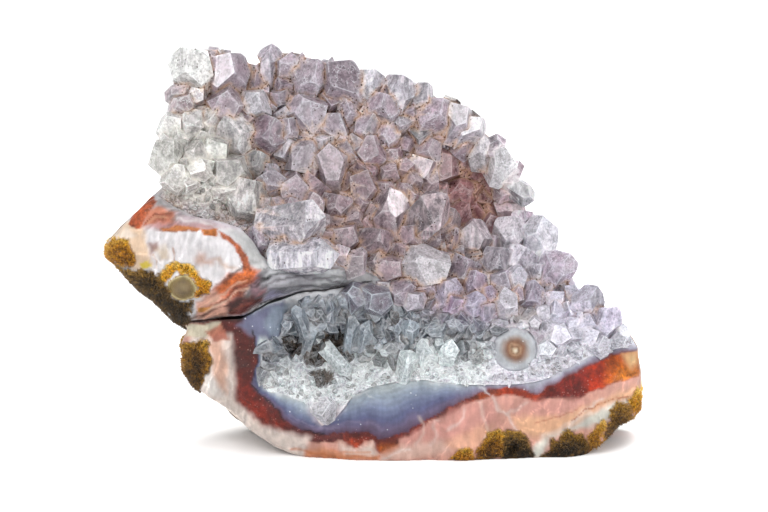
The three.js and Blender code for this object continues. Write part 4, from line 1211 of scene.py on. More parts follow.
def moss_amount(u, v):
    amount = np.zeros(len(u))
    for corners, middle, darkness in MOSS_PATCHES:
        amount = np.maximum(amount, patch_mask(corners, u, v, MOSS_EDGE))
    eye_u, eye_v = to_plane([MOSS_EYE_PX])[0]
    past_eye = np.hypot(u - eye_u, v - eye_v) - MOSS_EYE_RADIUS
    return amount * smooth(0, MOSS_EYE_EDGE, past_eye)


def ragged_moss(points, u, v):
    """The moss with an uneven edge, which wanders more towards the back."""
    drift = MOSS_DRIFT * np.clip((points[:, 1] - rock_front(u, v)) / MOSS_DRIFT_DEPTH, 0, 1)
    layers = (*MOSS_LAYERS, (drift, *MOSS_DRIFT_LAYER))
    shift = [layered_noise(points, seed, layers) for seed in MOSS_SEEDS]
    return moss_amount(u + shift[0], v + shift[1])


def moss_colors(u, v, shade):
    """Gold at a patch's edge to dark inside, shifted by a shade between -1 and 1."""
    colors = np.zeros((len(u), 3))
    best = np.full(len(u), -FAR)
    for corners, middle, darkness in MOSS_PATCHES:
        depth = inside_distance(to_plane(corners), u, v)
        heights = to_plane(corners)[:, 1]
        low = np.clip((heights.max() - v) / np.ptp(heights), 0, 1)
        place = sum(part * value for part, value in zip(MOSS_TONE, (darkness, low, depth, shade)))
        place = np.clip(place, 0, 1)
        tone = stops_color(place, GOLD_MOSS) * (1 - darkness) + stops_color(place, DARK_MOSS) * darkness
        nearer = depth > best
        colors[nearer] = tone[nearer]
        best = np.maximum(best, depth)
    return MOSS_SHADE * colors


def chip_cells(points, u, v):
    """Squared distance to the nearest and second nearest chip, and the nearest one's number."""
    rng = np.random.RandomState(CHIP_SEED)
    half = SHEET_SIZE / 2
    count = int((SHEET_SIZE / CHIP_SPACING) ** 2)
    u = u + seeded_noise(points, CHIP_WANDER)
    nearest = np.full(len(u), np.inf)
    second = np.full(len(u), np.inf)
    number = np.zeros(len(u), int)
    for i, (middle_u, middle_v) in enumerate(rng.uniform(-half, half, (count, 2))):
        away = ((u - middle_u) ** 2 + (v - middle_v) ** 2) / CHIP_SPACING ** 2
        closer = away < nearest
        second = np.minimum(second, np.where(closer, nearest, away))
        number[closer] = i
        nearest = np.minimum(nearest, away)
    return nearest, second, number


def chip_height(points, u, v):
    """Shallow scallops with sharp ridges, as broken chalcedony has."""
    return CHIP_DEPTH * np.minimum(chip_cells(points, u, v)[0], CHIP_REACH)


def chip_painted_light(points, u, v):
    """Painted light and shade: each chip a little lighter or darker, as if turned to the light, with
    painted highlights on the ridges between them.
    """
    nearest, second, number = chip_cells(points, u, v)
    rng = np.random.RandomState(CHIP_SEED)
    tones = rng.uniform(*CHIP_PAINTED_SHADES, number.max() + 1)
    ridge = np.exp(-((np.sqrt(second) - np.sqrt(nearest)) / RIDGE_HIGHLIGHT_WIDTH) ** 2)
    ridge *= smooth(*RIDGE_HIGHLIGHT_LIMITS, seeded_noise(points, RIDGE_HIGHLIGHT_NOISE))
    return tones[number] + RIDGE_PAINTED_HIGHLIGHT * ridge


def thin_hidden(rock):
    """Fewer faces where crystals cover the rock and at its back."""
    mesh = rock.data
    points = vertex_array(mesh)
    u, v = picture_place(points)
    hidden = (crust_distance(u, v) > HIDDEN_DEPTH) | (normal_array(mesh)[:, 1] > HIDDEN_NORMAL)
    group = rock.vertex_groups.new(name="hidden")
    group.add(np.flatnonzero(hidden).tolist(), 1.0, "REPLACE")
    modifier = rock.modifiers.new("thin", "DECIMATE")
    modifier.ratio = ROCK_KEPT
    modifier.vertex_group = "hidden"
    modifier.vertex_group_factor = HIDDEN_WEIGHT
    evaluated(rock)
    rock.vertex_groups.clear()


def rind_share(points, u, v):
    """1 on the rind at the back and 0 on the broken face."""
    return smooth(*RIND_EDGE, back_depth(u, v) - points[:, 1])


def raise_relief(mesh):
    """Chips on the broken face, lumps on the rind and in the moss."""
    points = vertex_array(mesh)
    normals = normal_array(mesh)
    u, v = picture_place(points)
    rind = rind_share(points, u, v)
    moss = ragged_moss(points, u, v)
    bare = (1 - moss) * (1 - rind)
    facing = smooth(*FRONT_FACING, -normals[:, 1])
    relief = bare * facing * (chip_height(points, u, v) - CHIP_DEPTH / 2)
    relief += bare * seeded_noise(points, FACE_RELIEF) + rind * seeded_noise(points, RIND_RELIEF)
    relief += moss * seeded_noise(points, MOSS_RELIEF)
    relief *= smooth(*GROUND_FADE, points[:, 2])
    set_vertices(mesh, points + normals * relief[:, None])


def paint_rock(mesh):
    """Writes the colours and shares that the rock's material reads."""
    points = vertex_array(mesh)
    u, v = picture_place(points)
    paint = stone_colors(points, u, v)
    set_color(mesh, "paint", paint)
    set_color(mesh, "moss_color", moss_colors(u, v, seeded_noise(points, MOSS_TONES)))
    set_attribute(mesh, "red", smooth(*RED_SHARE, 1 - paint[:, 1] / paint[:, 0]))
    set_attribute(mesh, "blue", smooth(*BLUE_BEGINS, band_place(u, v)) * (1 - upper_share(u, v)))
    set_attribute(mesh, "rind", rind_share(points, u, v))
    set_attribute(mesh, "moss", ragged_moss(points, u, v))


def make_rock(material):
    rock = rock_body()
    thin_hidden(rock)
    raise_relief(rock.data)
    combine(rock, sight_prism("crack", to_plane(CRACK_PX), -REACH_Y, CRACK_DEPTH_Y), "DIFFERENCE")
    paint_rock(rock.data)
    rock.data.polygons.foreach_set("use_smooth", np.ones(len(rock.data.polygons), bool))
    make_fibres(rock.data)
    finish_mesh(rock, ["agate_matrix"], material)


def fibre_feet(mesh, rng):
    """The fibres' feet, the normals there and the picture places."""
    points = vertex_array(mesh)
    u, v = picture_place(points)
    mossy = (ragged_moss(points, u, v) > 0.5) & (points[:, 2] > FIBRE_CLEARANCE)
    chosen = rng.choice(np.flatnonzero(mossy), FIBRE_COUNT)
    feet = points[chosen] + rng.normal(scale=FIBRE_JITTER, size=(FIBRE_COUNT, 3))
    return feet, normal_array(mesh)[chosen], np.stack([u[chosen], v[chosen]], 1)


def fibre_axes(normals, places, rng):
    """The fibres' directions, away from the middle of their patch."""
    middles = to_plane([middle for corners, middle, darkness in MOSS_PATCHES])
    nearest = np.argmin(np.linalg.norm(places[:, None] - middles, axis=2), axis=1)
    out = places - middles[nearest]
    out /= np.linalg.norm(out, axis=1)[:, None] + FIBRE_CALM
    spread = out[:, :1] * np.array(PICTURE_RIGHT) + out[:, 1:] * np.array(PICTURE_UP)
    return unit(normals + FIBRE_SPREAD * spread + rng.normal(scale=FIBRE_DISORDER, size=normals.shape))


def fibre_cones(feet, axis, rng):
    """Thin three-sided cones, as vertices and faces."""
    side = unit(np.cross(axis, rng.normal(size=axis.shape)))
    other = np.cross(axis, side)
    radius = rng.uniform(*FIBRE_RADIUS, FIBRE_COUNT)[:, None]
    length = rng.uniform(*FIBRE_LENGTH, FIBRE_COUNT)[:, None]
    ring = [feet - FIBRE_ROOT * axis + radius * (math.cos(turn) * side + math.sin(turn) * other)
            for turn in (0, 2 * math.pi / 3, 4 * math.pi / 3)]
    tips = feet + axis * length
    tips[:, 2] = np.maximum(tips[:, 2], FIBRE_FLOOR)
    base = 4 * np.arange(FIBRE_COUNT)
    faces = [np.stack([base + i for i in face], 1) for face in ((0, 1, 3), (1, 2, 3), (2, 0, 3), (2, 1, 0))]
    return np.stack([*ring, tips], 1).reshape(-1, 3), np.concatenate(faces).tolist()


def make_fibres(mesh):
    """The moss's short fibres."""
    rng = np.random.RandomState(FIBRE_SEED)
    feet, normals, places = fibre_feet(mesh, rng)
    axis = fibre_axes(normals, places, rng)
    fibres = new_object("moss_fibres", *fibre_cones(feet, axis, rng))
    colors = moss_colors(*places.T, rng.uniform(-1, 1, FIBRE_COUNT))
    set_color(fibres.data, "moss_color", np.repeat(colors, 4, axis=0))
    finish_mesh(fibres, ["agate_matrix"], moss_material())


# Crystals
class Scatter:
    """The same seeded numbers as the solid model's, so that its crystals stay in place."""

    def __init__(self, seed):
        self.state = seed

    def number(self):
        self.state = (self.state * 1664525 + 1013904223) % 4294967296
        return self.state / 4294967296

    def between(self, low, high):
        return low + (high - low) * self.number()


def surface_normal(u, v):
    us = u + NORMAL_REACH * np.array([1, -1, 0, 0])
    vs = v + NORMAL_REACH * np.array([0, 0, 1, -1])
    points = place_at(us, vs, front_field(us, vs))
    normal = np.cross(points[0] - points[1], points[2] - points[3])
    return Vector(normal).normalized()


def chosen_crystals(table):
    placed = []
    for px, py, width, lean, tilt, length, mauve, milk in table:
        u, v = to_plane([(px, py)])[0]
        lean, tilt = math.radians(lean), math.radians(tilt)
        aside = PICTURE_UP * math.sin(lean) + PICTURE_RIGHT * math.cos(lean)
        axis = SIGHT * math.cos(tilt) + aside * math.sin(tilt)
        placed.append((u, v, width, length, axis, mauve, milk, "point"))
    return placed


def has_room(placed, u, v, width, spacing):
    return all((u - other[0]) ** 2 + (v - other[1]) ** 2 > (spacing * (width + other[2]) / 2) ** 2
               for other in placed)


def scatter_crystals(placed, scatter, rng):
    """The crystals that the solid model has too."""
    left, right, top, bottom = SCATTER_WINDOW_PX
    zones = [to_plane(zone) for zone in BROKEN_ZONES_PX]
    draws = []
    for _ in range(SCATTER_TRIES):
        place = (scatter.between(left, right), scatter.between(top, bottom))
        draws.append((*place, *(scatter.number() for _ in range(5))))
    draws = np.array(draws)
    u, v = to_plane(draws[:, :2]).T
    broken = np.any([inside_distance(zone, u, v) > 0 for zone in zones], axis=0)
    width = CRYSTAL_WIDTH * (SCATTER_WIDTH[0] + (SCATTER_WIDTH[1] - SCATTER_WIDTH[0]) * draws[:, 2])
    width *= np.where(broken, BROKEN_CRYSTAL_SHARE, 1)
    length = width * (SCATTER_LENGTH[0] + (SCATTER_LENGTH[1] - SCATTER_LENGTH[0]) * draws[:, 3])
    lean = (2 * draws[:, 4:7] - 1) * SCATTER_TILT
    fits = crust_distance(u, v) > CRUST_EDGE_ROOM
    fits &= inside_distance(outline, u, v) > OUTLINE_ROOM * width
    for i in np.flatnonzero(fits):
        if has_room(placed, u[i], v[i], width[i], SCATTER_SPACING):
            axis = (surface_normal(u[i], v[i]) + Vector(lean[i])).normalized()
            looks = (rng.uniform(*limits) for limits in FILL_LOOKS["point"])
            placed.append((u[i], v[i], width[i], length[i], axis, *looks, "point"))
    return placed


def fill_crystals(placed, zone, kind, tries, widths, spacing, rng):
    """Smaller crystals or fragments wherever a zone has room."""
    left, right, top, bottom = SCATTER_WINDOW_PX
    u, v = to_plane(np.stack([rng.uniform(left, right, tries), rng.uniform(top, bottom, tries)], 1)).T
    width = rng.uniform(*widths, tries)
    edge_room = CRUST_EDGE_ROOM * width / CRYSTAL_WIDTH + rng.uniform(*RAGGED_EDGE, tries)
    fits = crust_distance(u, v) > edge_room
    fits &= inside_distance(outline, u, v) > OUTLINE_ROOM * width
    if zone:
        fits &= inside_distance(to_plane(zone), u, v) > 0
    taken = np.array([other[:3] for other in placed])
    for i in np.flatnonzero(fits):
        gaps = np.hypot(taken[:, 0] - u[i], taken[:, 1] - v[i])
        if np.any(gaps < spacing * (width[i] + taken[:, 2]) / 2):
            continue
        lean = Vector(rng.uniform(-1, 1, 3)) * (SCATTER_TILT if kind in POINTED else 1)
        axis = (surface_normal(u[i], v[i]) + lean).normalized()
        length = width[i] * rng.uniform(*FILL_LENGTH)
        looks = (rng.uniform(*limits) for limits in FILL_LOOKS[kind])
        placed.append((u[i], v[i], width[i], length, axis, *looks, kind))
        taken = np.vstack([taken, (u[i], v[i], width[i])])
    return placed


def drop_from_sugar(crystals):
    """Leaves the fine-grained zones to the fragments."""
    zones = [to_plane(zone) for zone in (*SUGAR_ZONES_PX, FRAGMENT_ZONE_PX, WHITE_ZONE_PX, RIGHT_ZONE_PX)]
    place = np.array([crystal[:2] for crystal in crystals])
    inside = np.any([inside_distance(zone, *place.T) > 0 for zone in zones], axis=0)
    chosen = len(CRYSTALS)
    return [crystal for i, crystal in enumerate(crystals) if i < chosen or not inside[i]]


def crystal_planes(width, length, rng):
    """Six prism sides, six faces of the point and the root, as normals and distances."""
    normals = [(0, 0, -1)]
    distances = [0.0]
    slope = math.sin(PYRAMID_TILT), math.cos(PYRAMID_TILT)
    for i in range(6):
        angle = math.radians(60 * i)
        side = (math.cos(angle), math.sin(angle))
        normals.append((*side, 0))
        distances.append(width / 2 * (1 + rng.uniform(-SIDE_SPREAD, SIDE_SPREAD)))
        normals.append((side[0] * slope[0], side[1] * slope[0], slope[1]))
        share = rng.uniform(*LARGE_FACE) if i % 2 else rng.uniform(*SMALL_FACE)
        distances.append(slope[1] * (length + POINT_HEIGHT * width * share))
    normals = np.array(normals) + rng.uniform(-FACE_SPREAD, FACE_SPREAD, (PLANE_COUNT, 3))
    return unit(normals), np.array(distances)


def fragment_planes(width, kind, rng):
    """A broken grain: flat faces all round, longer along its axis in a shard."""
    normals = unit(rng.normal(size=(PLANE_COUNT, 3)))
    distances = width / 2 * rng.uniform(*FRAGMENT_FACES, PLANE_COUNT)
    if kind == "shard":
        distances *= 1 + SHARD_STRETCH * np.abs(normals[:, 2])
    return normals, distances


def solid_corners(normals, distances):
    """Corners and faces of the solid that the planes enclose."""
    systems = normals[PLANE_TRIPLES]
    proper = np.abs(np.linalg.det(systems)) > PARALLEL
    triples = PLANE_TRIPLES[proper]
    found = np.linalg.solve(systems[proper], distances[triples][..., None])[..., 0]
    kept = np.all(found @ normals.T <= distances + ON_PLANE, axis=1)
    corners = []
    on_planes = []
    for corner, planes in zip(found[kept], triples[kept]):
        near = [i for i, other in enumerate(corners) if np.linalg.norm(other - corner) < CORNER_MERGE]
        if near:
            on_planes[near[0]].update(planes)
        else:
            corners.append(corner)
            on_planes.append(set(planes))
    corners = np.array(corners)
    faces = [face_loop(corners, [i for i, planes in enumerate(on_planes) if plane in planes], normal)
             for plane, normal in enumerate(normals)]
    return corners, [face for face in faces if len(face) > 2]


def face_loop(corners, on_face, normal):
    """The corners of a face in their order round its normal."""
    if len(on_face) < 3:
        return []
    side = np.cross(normal, ASKEW)
    away = corners[on_face] - corners[on_face].mean(axis=0)
    angle = np.arctan2(away @ np.cross(normal, side), away @ side)
    return [on_face[i] for i in np.argsort(angle)]


def is_closed(faces):
    sides = [(a, b) for face in faces for a, b in zip(face, face[1:] + face[:1])]
    return len(set(sides)) == len(sides) and all((b, a) in set(sides) for a, b in sides)


def crystal_solid(width, length, kind, rng):
    """Corners and faces of the first closed solid that random planes give."""
    while True:
        if kind in POINTED:
            planes = crystal_planes(width, length, rng)
        else:
            planes = fragment_planes(width, kind, rng)
        corners, faces = solid_corners(*planes)
        if is_closed(faces) and is_compact(corners, width, length, kind):
            return corners, faces


def is_compact(corners, width, length, kind):
    if kind not in POINTED:
        return np.abs(corners).max() < FRAGMENT_REACH[kind] * width
    girth = np.hypot(corners[:, 0], corners[:, 1]).max()
    return girth < LARGEST_GIRTH * width and corners[:, 2].max() < length + LARGEST_RISE * width


def crystal_root(u, v, width, length, axis, kind):
    """The root of a crystal whose visible part is centred on its picture place."""
    us, vs = np.array([u]), np.array([v])
    place = Vector(place_at(us, vs, crystal_front(us, vs))[0])
    if kind not in POINTED:
        return place + surface_normal(u, v) * (length - width / 2)
    aside = axis * (-length / 2)
    return place + aside - SIGHT * aside.dot(SIGHT) - axis * ROOT_DEPTH


def plant_crystal(number, crystal, rng, collection):
    u, v, width, length, axis, mauve, milk, kind = crystal
    if kind == "point":
        width *= POINT_GROWTH
    corners, faces = crystal_solid(width, length + ROOT_DEPTH, kind, rng)
    turn = Vector((0, 0, 1)).rotation_difference(axis) @ Quaternion((0, 0, 1), rng.uniform(0, math.pi))
    root = np.array(crystal_root(u, v, width, length, axis, kind))
    mesh = bpy.data.meshes.new(f"crystal_{number}")
    mesh.from_pydata((corners @ np.array(turn.to_matrix()).T + root).tolist(), [], faces)
    set_face_values(mesh, (mauve, milk, rng.uniform(0, 1, len(mesh.polygons)), number))
    obj = bpy.data.objects.new(f"crystal_{number}", mesh)
    collection.objects.link(obj)


def crust_bed():
    """The skin of quartz that the crystals stand on."""
    bed = slab("quartz_crust", crystal_front, crust_back, CRUST_STEP)
    combine(bed, sight_prism("crust_rim", shrunk(outline, RIM_INSET)), "INTERSECT")
    combine(bed, sight_prism("crust_edge", crust_outline), "INTERSECT")
    turns = np.linspace(0, -2 * math.pi, EYE_SIDES, endpoint=False)
    ring = to_plane([EYE_PX]) + EYE_RADIUS * np.stack([np.cos(turns), np.sin(turns)], 1)
    combine(bed, sight_prism("eye", ring), "DIFFERENCE")
    set_face_values(bed.data, (BED_LOOK, BED_LOOK, BED_LOOK, BED_NUMBER))
    return bed


def shrunk(edge, distance):
    """A clockwise outline moved inwards."""
    along = np.roll(edge, -1, axis=0) - np.roll(edge, 1, axis=0)
    along /= np.linalg.norm(along, axis=1)[:, None]
    return edge + np.stack([along[:, 1], -along[:, 0]], 1) * distance


def grow_crust(crystals, rng):
    bed = crust_bed()
    collection = bpy.data.collections.new("crystals")
    bpy.context.scene.collection.children.link(collection)
    for number, crystal in enumerate(crystals):
        plant_crystal(number, crystal, rng, collection)
    modifier = bed.modifiers.new("grown", "BOOLEAN")
    modifier.operand_type = "COLLECTION"
    modifier.collection = collection
    modifier.operation = "UNION"
    modifier.solver = "MANIFOLD"
    evaluated(bed)
    for obj in list(collection.objects):
        bpy.data.objects.remove(obj)
    bpy.data.collections.remove(collection)
    return bed


def triangle_arrays(mesh, names):
    """Vertices, triangles and the face values of each triangle."""
    mesh.calc_loop_triangles()
    triangles = np.empty(len(mesh.loop_triangles) * 3, np.int32)
    mesh.loop_triangles.foreach_get("vertices", triangles)
    polygon = np.empty(len(mesh.loop_triangles), np.int32)
    mesh.loop_triangles.foreach_get("polygon_index", polygon)
    values = []
    for name in names:
        of_faces = np.empty(len(mesh.polygons), np.float32)
        mesh.attributes[name].data.foreach_get("value", of_faces)
        values.append(of_faces[polygon])
    return vertex_array(mesh), triangles.reshape(-1, 3), np.stack(values, 1)


def edge_table(triangles):
    """Each edge once, and the edges of each triangle."""
    ends = np.sort(np.stack([triangles, np.roll(triangles, -1, axis=1)], -1).reshape(-1, 2), axis=1)
    keys, of_side = np.unique(ends[:, 0].astype(np.int64) << 32 | ends[:, 1], return_inverse=True)
    return np.stack([keys >> 32, keys & 0xFFFFFFFF], 1), of_side.reshape(-1, 3)


def triangle_normals(corners):
    """Normals of triangles, twice as long as their areas."""
    return np.cross(corners[:, 1] - corners[:, 0], corners[:, 2] - corners[:, 0])


def large_triangles(corners):
    doubled_area = np.linalg.norm(triangle_normals(corners), axis=1)
    around = np.linalg.norm(corners - np.roll(corners, 1, axis=1), axis=2).sum(axis=1)
    return doubled_area > SMALLEST_INRADIUS * around


def split_triangles(points, triangles, values, sharp, of_side):
    """Adds a middle point to each triangle that is large enough to show and to its flat edges."""
    corners = points[triangles]
    large = large_triangles(corners)
    middle = len(points) + np.cumsum(large) - 1
    flat = ~sharp
    np.logical_and.at(flat, of_side[~large].ravel(), False)
    on_edge = len(points) + large.sum() + np.cumsum(flat) - 1
    ends = np.zeros((len(flat), 2), int)
    ends[of_side.ravel()] = np.stack([triangles, np.roll(triangles, -1, axis=1)], -1).reshape(-1, 2)
    pieces = [triangles[~large]]
    kept = [values[~large]]
    for side in range(3):
        first, second = triangles[:, side], triangles[:, (side + 1) % 3]
        halved = large & flat[of_side[:, side]]
        whole = large & ~halved
        between_ends = on_edge[of_side[:, side]]
        pieces.append(np.stack([first, second, middle], 1)[whole])
        pieces.append(np.stack([first, between_ends, middle], 1)[halved])
        pieces.append(np.stack([between_ends, second, middle], 1)[halved])
        kept += [values[whole], values[halved], values[halved]]
    points = np.concatenate([points, corners[large].mean(axis=1), points[ends[flat]].mean(axis=1)])
    return points, np.concatenate(pieces), np.concatenate(kept)


def without_doubles(triangles, values):
    """Leaves out the second of two triangles with the same corners."""
    first = np.unique(np.sort(triangles, axis=1), axis=0, return_index=True)[1]
    first.sort()
    return triangles[first], values[first]


def edge_bends(points, triangles, edges, of_side):
    """For each edge whether it is sharp, and whether it is hollow there."""
    corners = points[triangles]
    normals = triangle_normals(corners)
    normals /= np.linalg.norm(normals, axis=1)[:, None] + TINY
    middles = corners.mean(axis=1)
    faces = np.argsort(of_side.ravel(), kind="stable") // 3
    start = np.searchsorted(np.sort(of_side.ravel()), np.arange(len(edges)))
    first, second = faces[start], faces[start + 1]
    turn = np.einsum("ij,ij->i", normals[first], normals[second])
    rise = np.einsum("ij,ij->i", normals[first], middles[second] - middles[first])
    return turn < SHARP_TURN, rise > 0


def nearest_distance(points, segments):
    """Distance of points from the nearest of many short lines, as far as the marks reach."""
    length = np.linalg.norm(segments[:, 1] - segments[:, 0], axis=1)
    samples = []
    for (start, end), count in zip(segments, np.ceil(length / SAMPLE_SPACING).astype(int) + 1):
        along = np.linspace(0, 1, count)[:, None]
        samples.append(start * (1 - along) + end * along)
    samples = np.concatenate(samples)
    finder = KDTree(len(samples))
    for i, sample in enumerate(samples):
        finder.insert(sample, i)
    finder.balance()
    return np.array([min(finder.find(point)[2], MARK_REACH) for point in points])


# The quartz's tints by zone, with painted shade in its hollows and recess
def crust_tints_and_shade(u, v):
    colors = np.tile(linear(PLAIN_TINT), (len(u), 1))
    return lay_paints(colors, CRUST_TINTS_AND_SHADE, u, v, np.ones(len(u)))


def face_tints_and_shade(crystals, middles, numbers, rng):
    """One colour for each crystal by its place, painted shade included; between the crystals it follows the
    bed.
    """
    u, v = picture_place(middles)
    grown = numbers > BED_NUMBER / 2
    owner = numbers[grown].round().astype(int)
    u[grown], v[grown] = np.array([crystal[:2] for crystal in crystals])[owner].T
    tones = np.array([rng.uniform(*CRYSTAL_TONES[crystal[-1]]) for crystal in crystals])
    colors = crust_tints_and_shade(u, v)
    colors[grown] *= tones[owner][:, None]
    return colors


def stain_amount(u, v):
    """1 where the seams are brown, 0 in the clean white zones."""
    stain = np.ones(len(u))
    for zone in CLEAN_ZONES_PX:
        stain *= 1 - CLEANNESS * patch_mask(zone, u, v, STAIN_SOFTNESS)
    return stain


def sugar_amount(u, v):
    """1 in the fine-grained zones, less among the fragments."""
    amounts = [patch_mask(zone, u, v, SUGAR_SOFTNESS) for zone in SUGAR_ZONES_PX]
    amounts.append(BROKEN_GRAIN * patch_mask(FRAGMENT_ZONE_PX, u, v, SUGAR_SOFTNESS))
    return np.max(amounts, axis=0)


def all_crystals(rng):
    crystals = scatter_crystals(chosen_crystals(CRYSTALS), Scatter(SCATTER_SEED), rng)
    crystals = drop_from_sugar(crystals) + chosen_crystals(EXTRA_CRYSTALS)
    for zone, kind, tries, widths, spacing in FILLS:
        crystals = fill_crystals(crystals, zone, kind, tries, widths, spacing, rng)
    return crystals


def make_crust(material):
    rng = np.random.RandomState(SCATTER_SEED)
    crystals = all_crystals(rng)
    crust = grow_crust(crystals, rng)
    points, triangles, values = triangle_arrays(crust.data, FACE_VALUES)
    edges, of_side = edge_table(triangles)
    sharp, hollow = edge_bends(points, triangles, edges, of_side)
    seams, ridges = points[edges[sharp & hollow]], points[edges[sharp & ~hollow]]
    points, triangles, values = split_triangles(points, triangles, values, sharp, of_side)
    triangles, values = without_doubles(triangles, values)
    mesh = bpy.data.meshes.new("quartz_crust")
    mesh.from_pydata(points.tolist(), [], triangles.tolist())
    set_face_values(mesh, values.T)
    set_attribute(mesh, "seam", nearest_distance(points, seams))
    set_attribute(mesh, "ridge", nearest_distance(points, ridges))
    tints_and_shade = face_tints_and_shade(crystals, points[triangles].mean(axis=1), values[:, 3], rng)
    set_color(mesh, "tint_and_shade", tints_and_shade, "FACE")
    set_attribute(mesh, "stain", stain_amount(*picture_place(points)))
    set_attribute(mesh, "sugar", sugar_amount(*picture_place(points)))
    crust.data = mesh
    finish_mesh(crust, ["quartz_druse"], material)


# Materials
def feed(tree, node, inputs):
    """Gives each of some inputs of a node a link or a value."""
    for name, value in inputs.items():
        if isinstance(value, bpy.types.NodeSocket):
            tree.links.new(value, node.inputs[name])
        else:
            node.inputs[name].default_value = value


def add_node(tree, kind, inputs, **settings):
    node = tree.nodes.new("ShaderNode" + kind)
    for name, value in settings.items():
        setattr(node, name, value)
    feed(tree, node, inputs)
    return node


def new_material(name):
    material = bpy.data.materials.new(name)
    material.use_nodes = True
    tree = material.node_tree
    tree.nodes.clear()
    shader = add_node(tree, "BsdfPrincipled", {})
    add_node(tree, "OutputMaterial", {0: shader.outputs[0]})
    return material, tree, shader


def attribute(tree, name, output="Fac"):
    return add_node(tree, "Attribute", {}, attribute_name=name).outputs[output]


def object_place(tree):
    """Places on the object in millimetres."""
    return multiply(tree, add_node(tree, "TexCoord", {}).outputs["Object"], 1 / MM)


def noise(tree, size, detail=3, roughness=0.55, turn=(0, 0, 0), squeeze=(1, 1, 1)):
    """Noise from 0 to 1 with cells of the given size in mm, longer where it is squeezed less."""
    turned = {"Vector": object_place(tree), "Rotation": turn, "Scale": squeeze}
    place = add_node(tree, "Mapping", turned).outputs[0]
    inputs = {"Vector": place, "Scale": 1 / size, "Detail": detail, "Roughness": roughness}
    return add_node(tree, "TexNoise", inputs).outputs[0]


def cell_distance(tree, size):
    """Distance from the middles of random cells of the given size in mm, as a share of it."""
    inputs = {"Vector": object_place(tree), "Scale": 1 / size}
    return add_node(tree, "TexVoronoi", inputs).outputs["Distance"]


def span(tree, value, low, high, start=0.0, end=1.0, clamp=True):
    """Maps a value between two limits to a new span."""
    inputs = dict(enumerate((value, low, high, start, end)))
    return add_node(tree, "MapRange", inputs, clamp=clamp).outputs[0]


def pattern(tree, setting, squeeze=(1, 1, 1)):
    """Noise as a shade or a share, by one of the settings at the top."""
    size, detail, roughness, *limits = setting
    return span(tree, noise(tree, size, detail, roughness, squeeze=squeeze), *limits)


def dots(tree, spacing, inner, outer):
    """1 in round dots and 0 between them."""
    return span(tree, cell_distance(tree, spacing), inner, outer, 1, 0)


def bump(tree, shader, height, depth):
    node = add_node(tree, "Bump", {"Strength": 1.0, "Distance": depth * MM, "Height": height})
    feed(tree, shader, {"Normal": node.outputs[0]})


def ramp(tree, value, stops):
    node = add_node(tree, "ValToRGB", {0: value})
    elements = node.color_ramp.elements
    for element, (place, color) in zip(elements, (stops[0], stops[-1])):
        element.position, element.color = place, (*color, 1)
    for place, color in stops[1:-1]:
        elements.new(place).color = (*color, 1)
    return node.outputs[0]


def mix(tree, factor, first, second, blend="MIX"):
    colors = [(*color, 1) if isinstance(color, tuple) else color for color in (first, second)]
    inputs = {0: factor, 6: colors[0], 7: colors[1]}
    return add_node(tree, "Mix", inputs, data_type="RGBA", blend_type=blend).outputs[2]


def math_node(tree, operation, first, second):
    return add_node(tree, "Math", {0: first, 1: second}, operation=operation).outputs[0]


def times(tree, first, second):
    return math_node(tree, "MULTIPLY", first, second)


def largest(tree, *values):
    result = values[0]
    for value in values[1:]:
        result = math_node(tree, "MAXIMUM", result, value)
    return result


def toward(tree, value, goal, share):
    """A value moved towards a goal by a share of the way."""
    return math_node(tree, "ADD", value, times(tree, share, math_node(tree, "SUBTRACT", goal, value)))


def multiply(tree, color, factor):
    return add_node(tree, "VectorMath", {0: color, "Scale": factor}, operation="SCALE").outputs[0]


def tinted(tree, color, hue):
    return mix(tree, 1.0, color, hue, "MULTIPLY")


def node_color(color):
    """An sRGB colour of 0 to 255 as a node takes it."""
    return tuple(linear(color))


def node_stops(stops):
    return [(place, node_color(tone)) for place, tone in stops]


def under_light(weight, radius, scale):
    """The inputs for light scattered under the surface, its reach in mm."""
    return {"Subsurface Weight": weight, "Subsurface Radius": radius, "Subsurface Scale": scale * MM}


def rock_material():
    material, tree, shader = new_material("banded_agate")
    moss = attribute(tree, "moss")
    rind = attribute(tree, "rind")
    color = mix(tree, rind, agate_color(tree), rind_color(tree))
    cover = largest(tree, moss, rind)
    feed(tree, shader, {
        "Base Color": mix(tree, moss, color, moss_color(tree)),
        "Roughness": span(tree, cover, 0, 1, *STONE_ROUGHNESS),
        "Specular IOR Level": STONE_SPECULAR,
        **under_light(*STONE_GLOW),
    })
    fine, coarse = (noise(tree, *setting) for setting in STONE_BUMPS)
    grain = math_node(tree, "ADD", fine, times(tree, coarse, COARSE_BUMPS))
    bump(tree, shader, times(tree, grain, span(tree, cover, 0, 1, BARE_BUMP, 1)), STONE_BUMP)
    return material


def agate_color(tree):
    """The painted bands with clouds, mottled reds, upright strands and pale specks."""
    color = multiply(tree, attribute(tree, "paint", "Color"), pattern(tree, STONE_CLOUDS))
    mottle = times(tree, pattern(tree, RED_MOTTLE), pattern(tree, RED_CLOUDS))
    color = mix(tree, attribute(tree, "red"), color, multiply(tree, color, mottle))
    color = multiply(tree, color, pattern(tree, STRANDS, UPRIGHT))
    for place, spacing, radii, cluster, limits, strength, speck in STONE_SPECKS:
        amount = times(tree, attribute(tree, place), dots(tree, spacing, *radii))
        amount = times(tree, amount, span(tree, noise(tree, cluster, 3), *limits, 0, strength))
        color = mix(tree, amount, color, tuple(linear(speck) * STONE_SHADE))
    return color


def moss_color(tree):
    """The moss's colour in clumps and grains."""
    shade = times(tree, pattern(tree, MOSS_CLUMPS), pattern(tree, MOSS_GRAINS))
    return multiply(tree, attribute(tree, "moss_color", "Color"), shade)


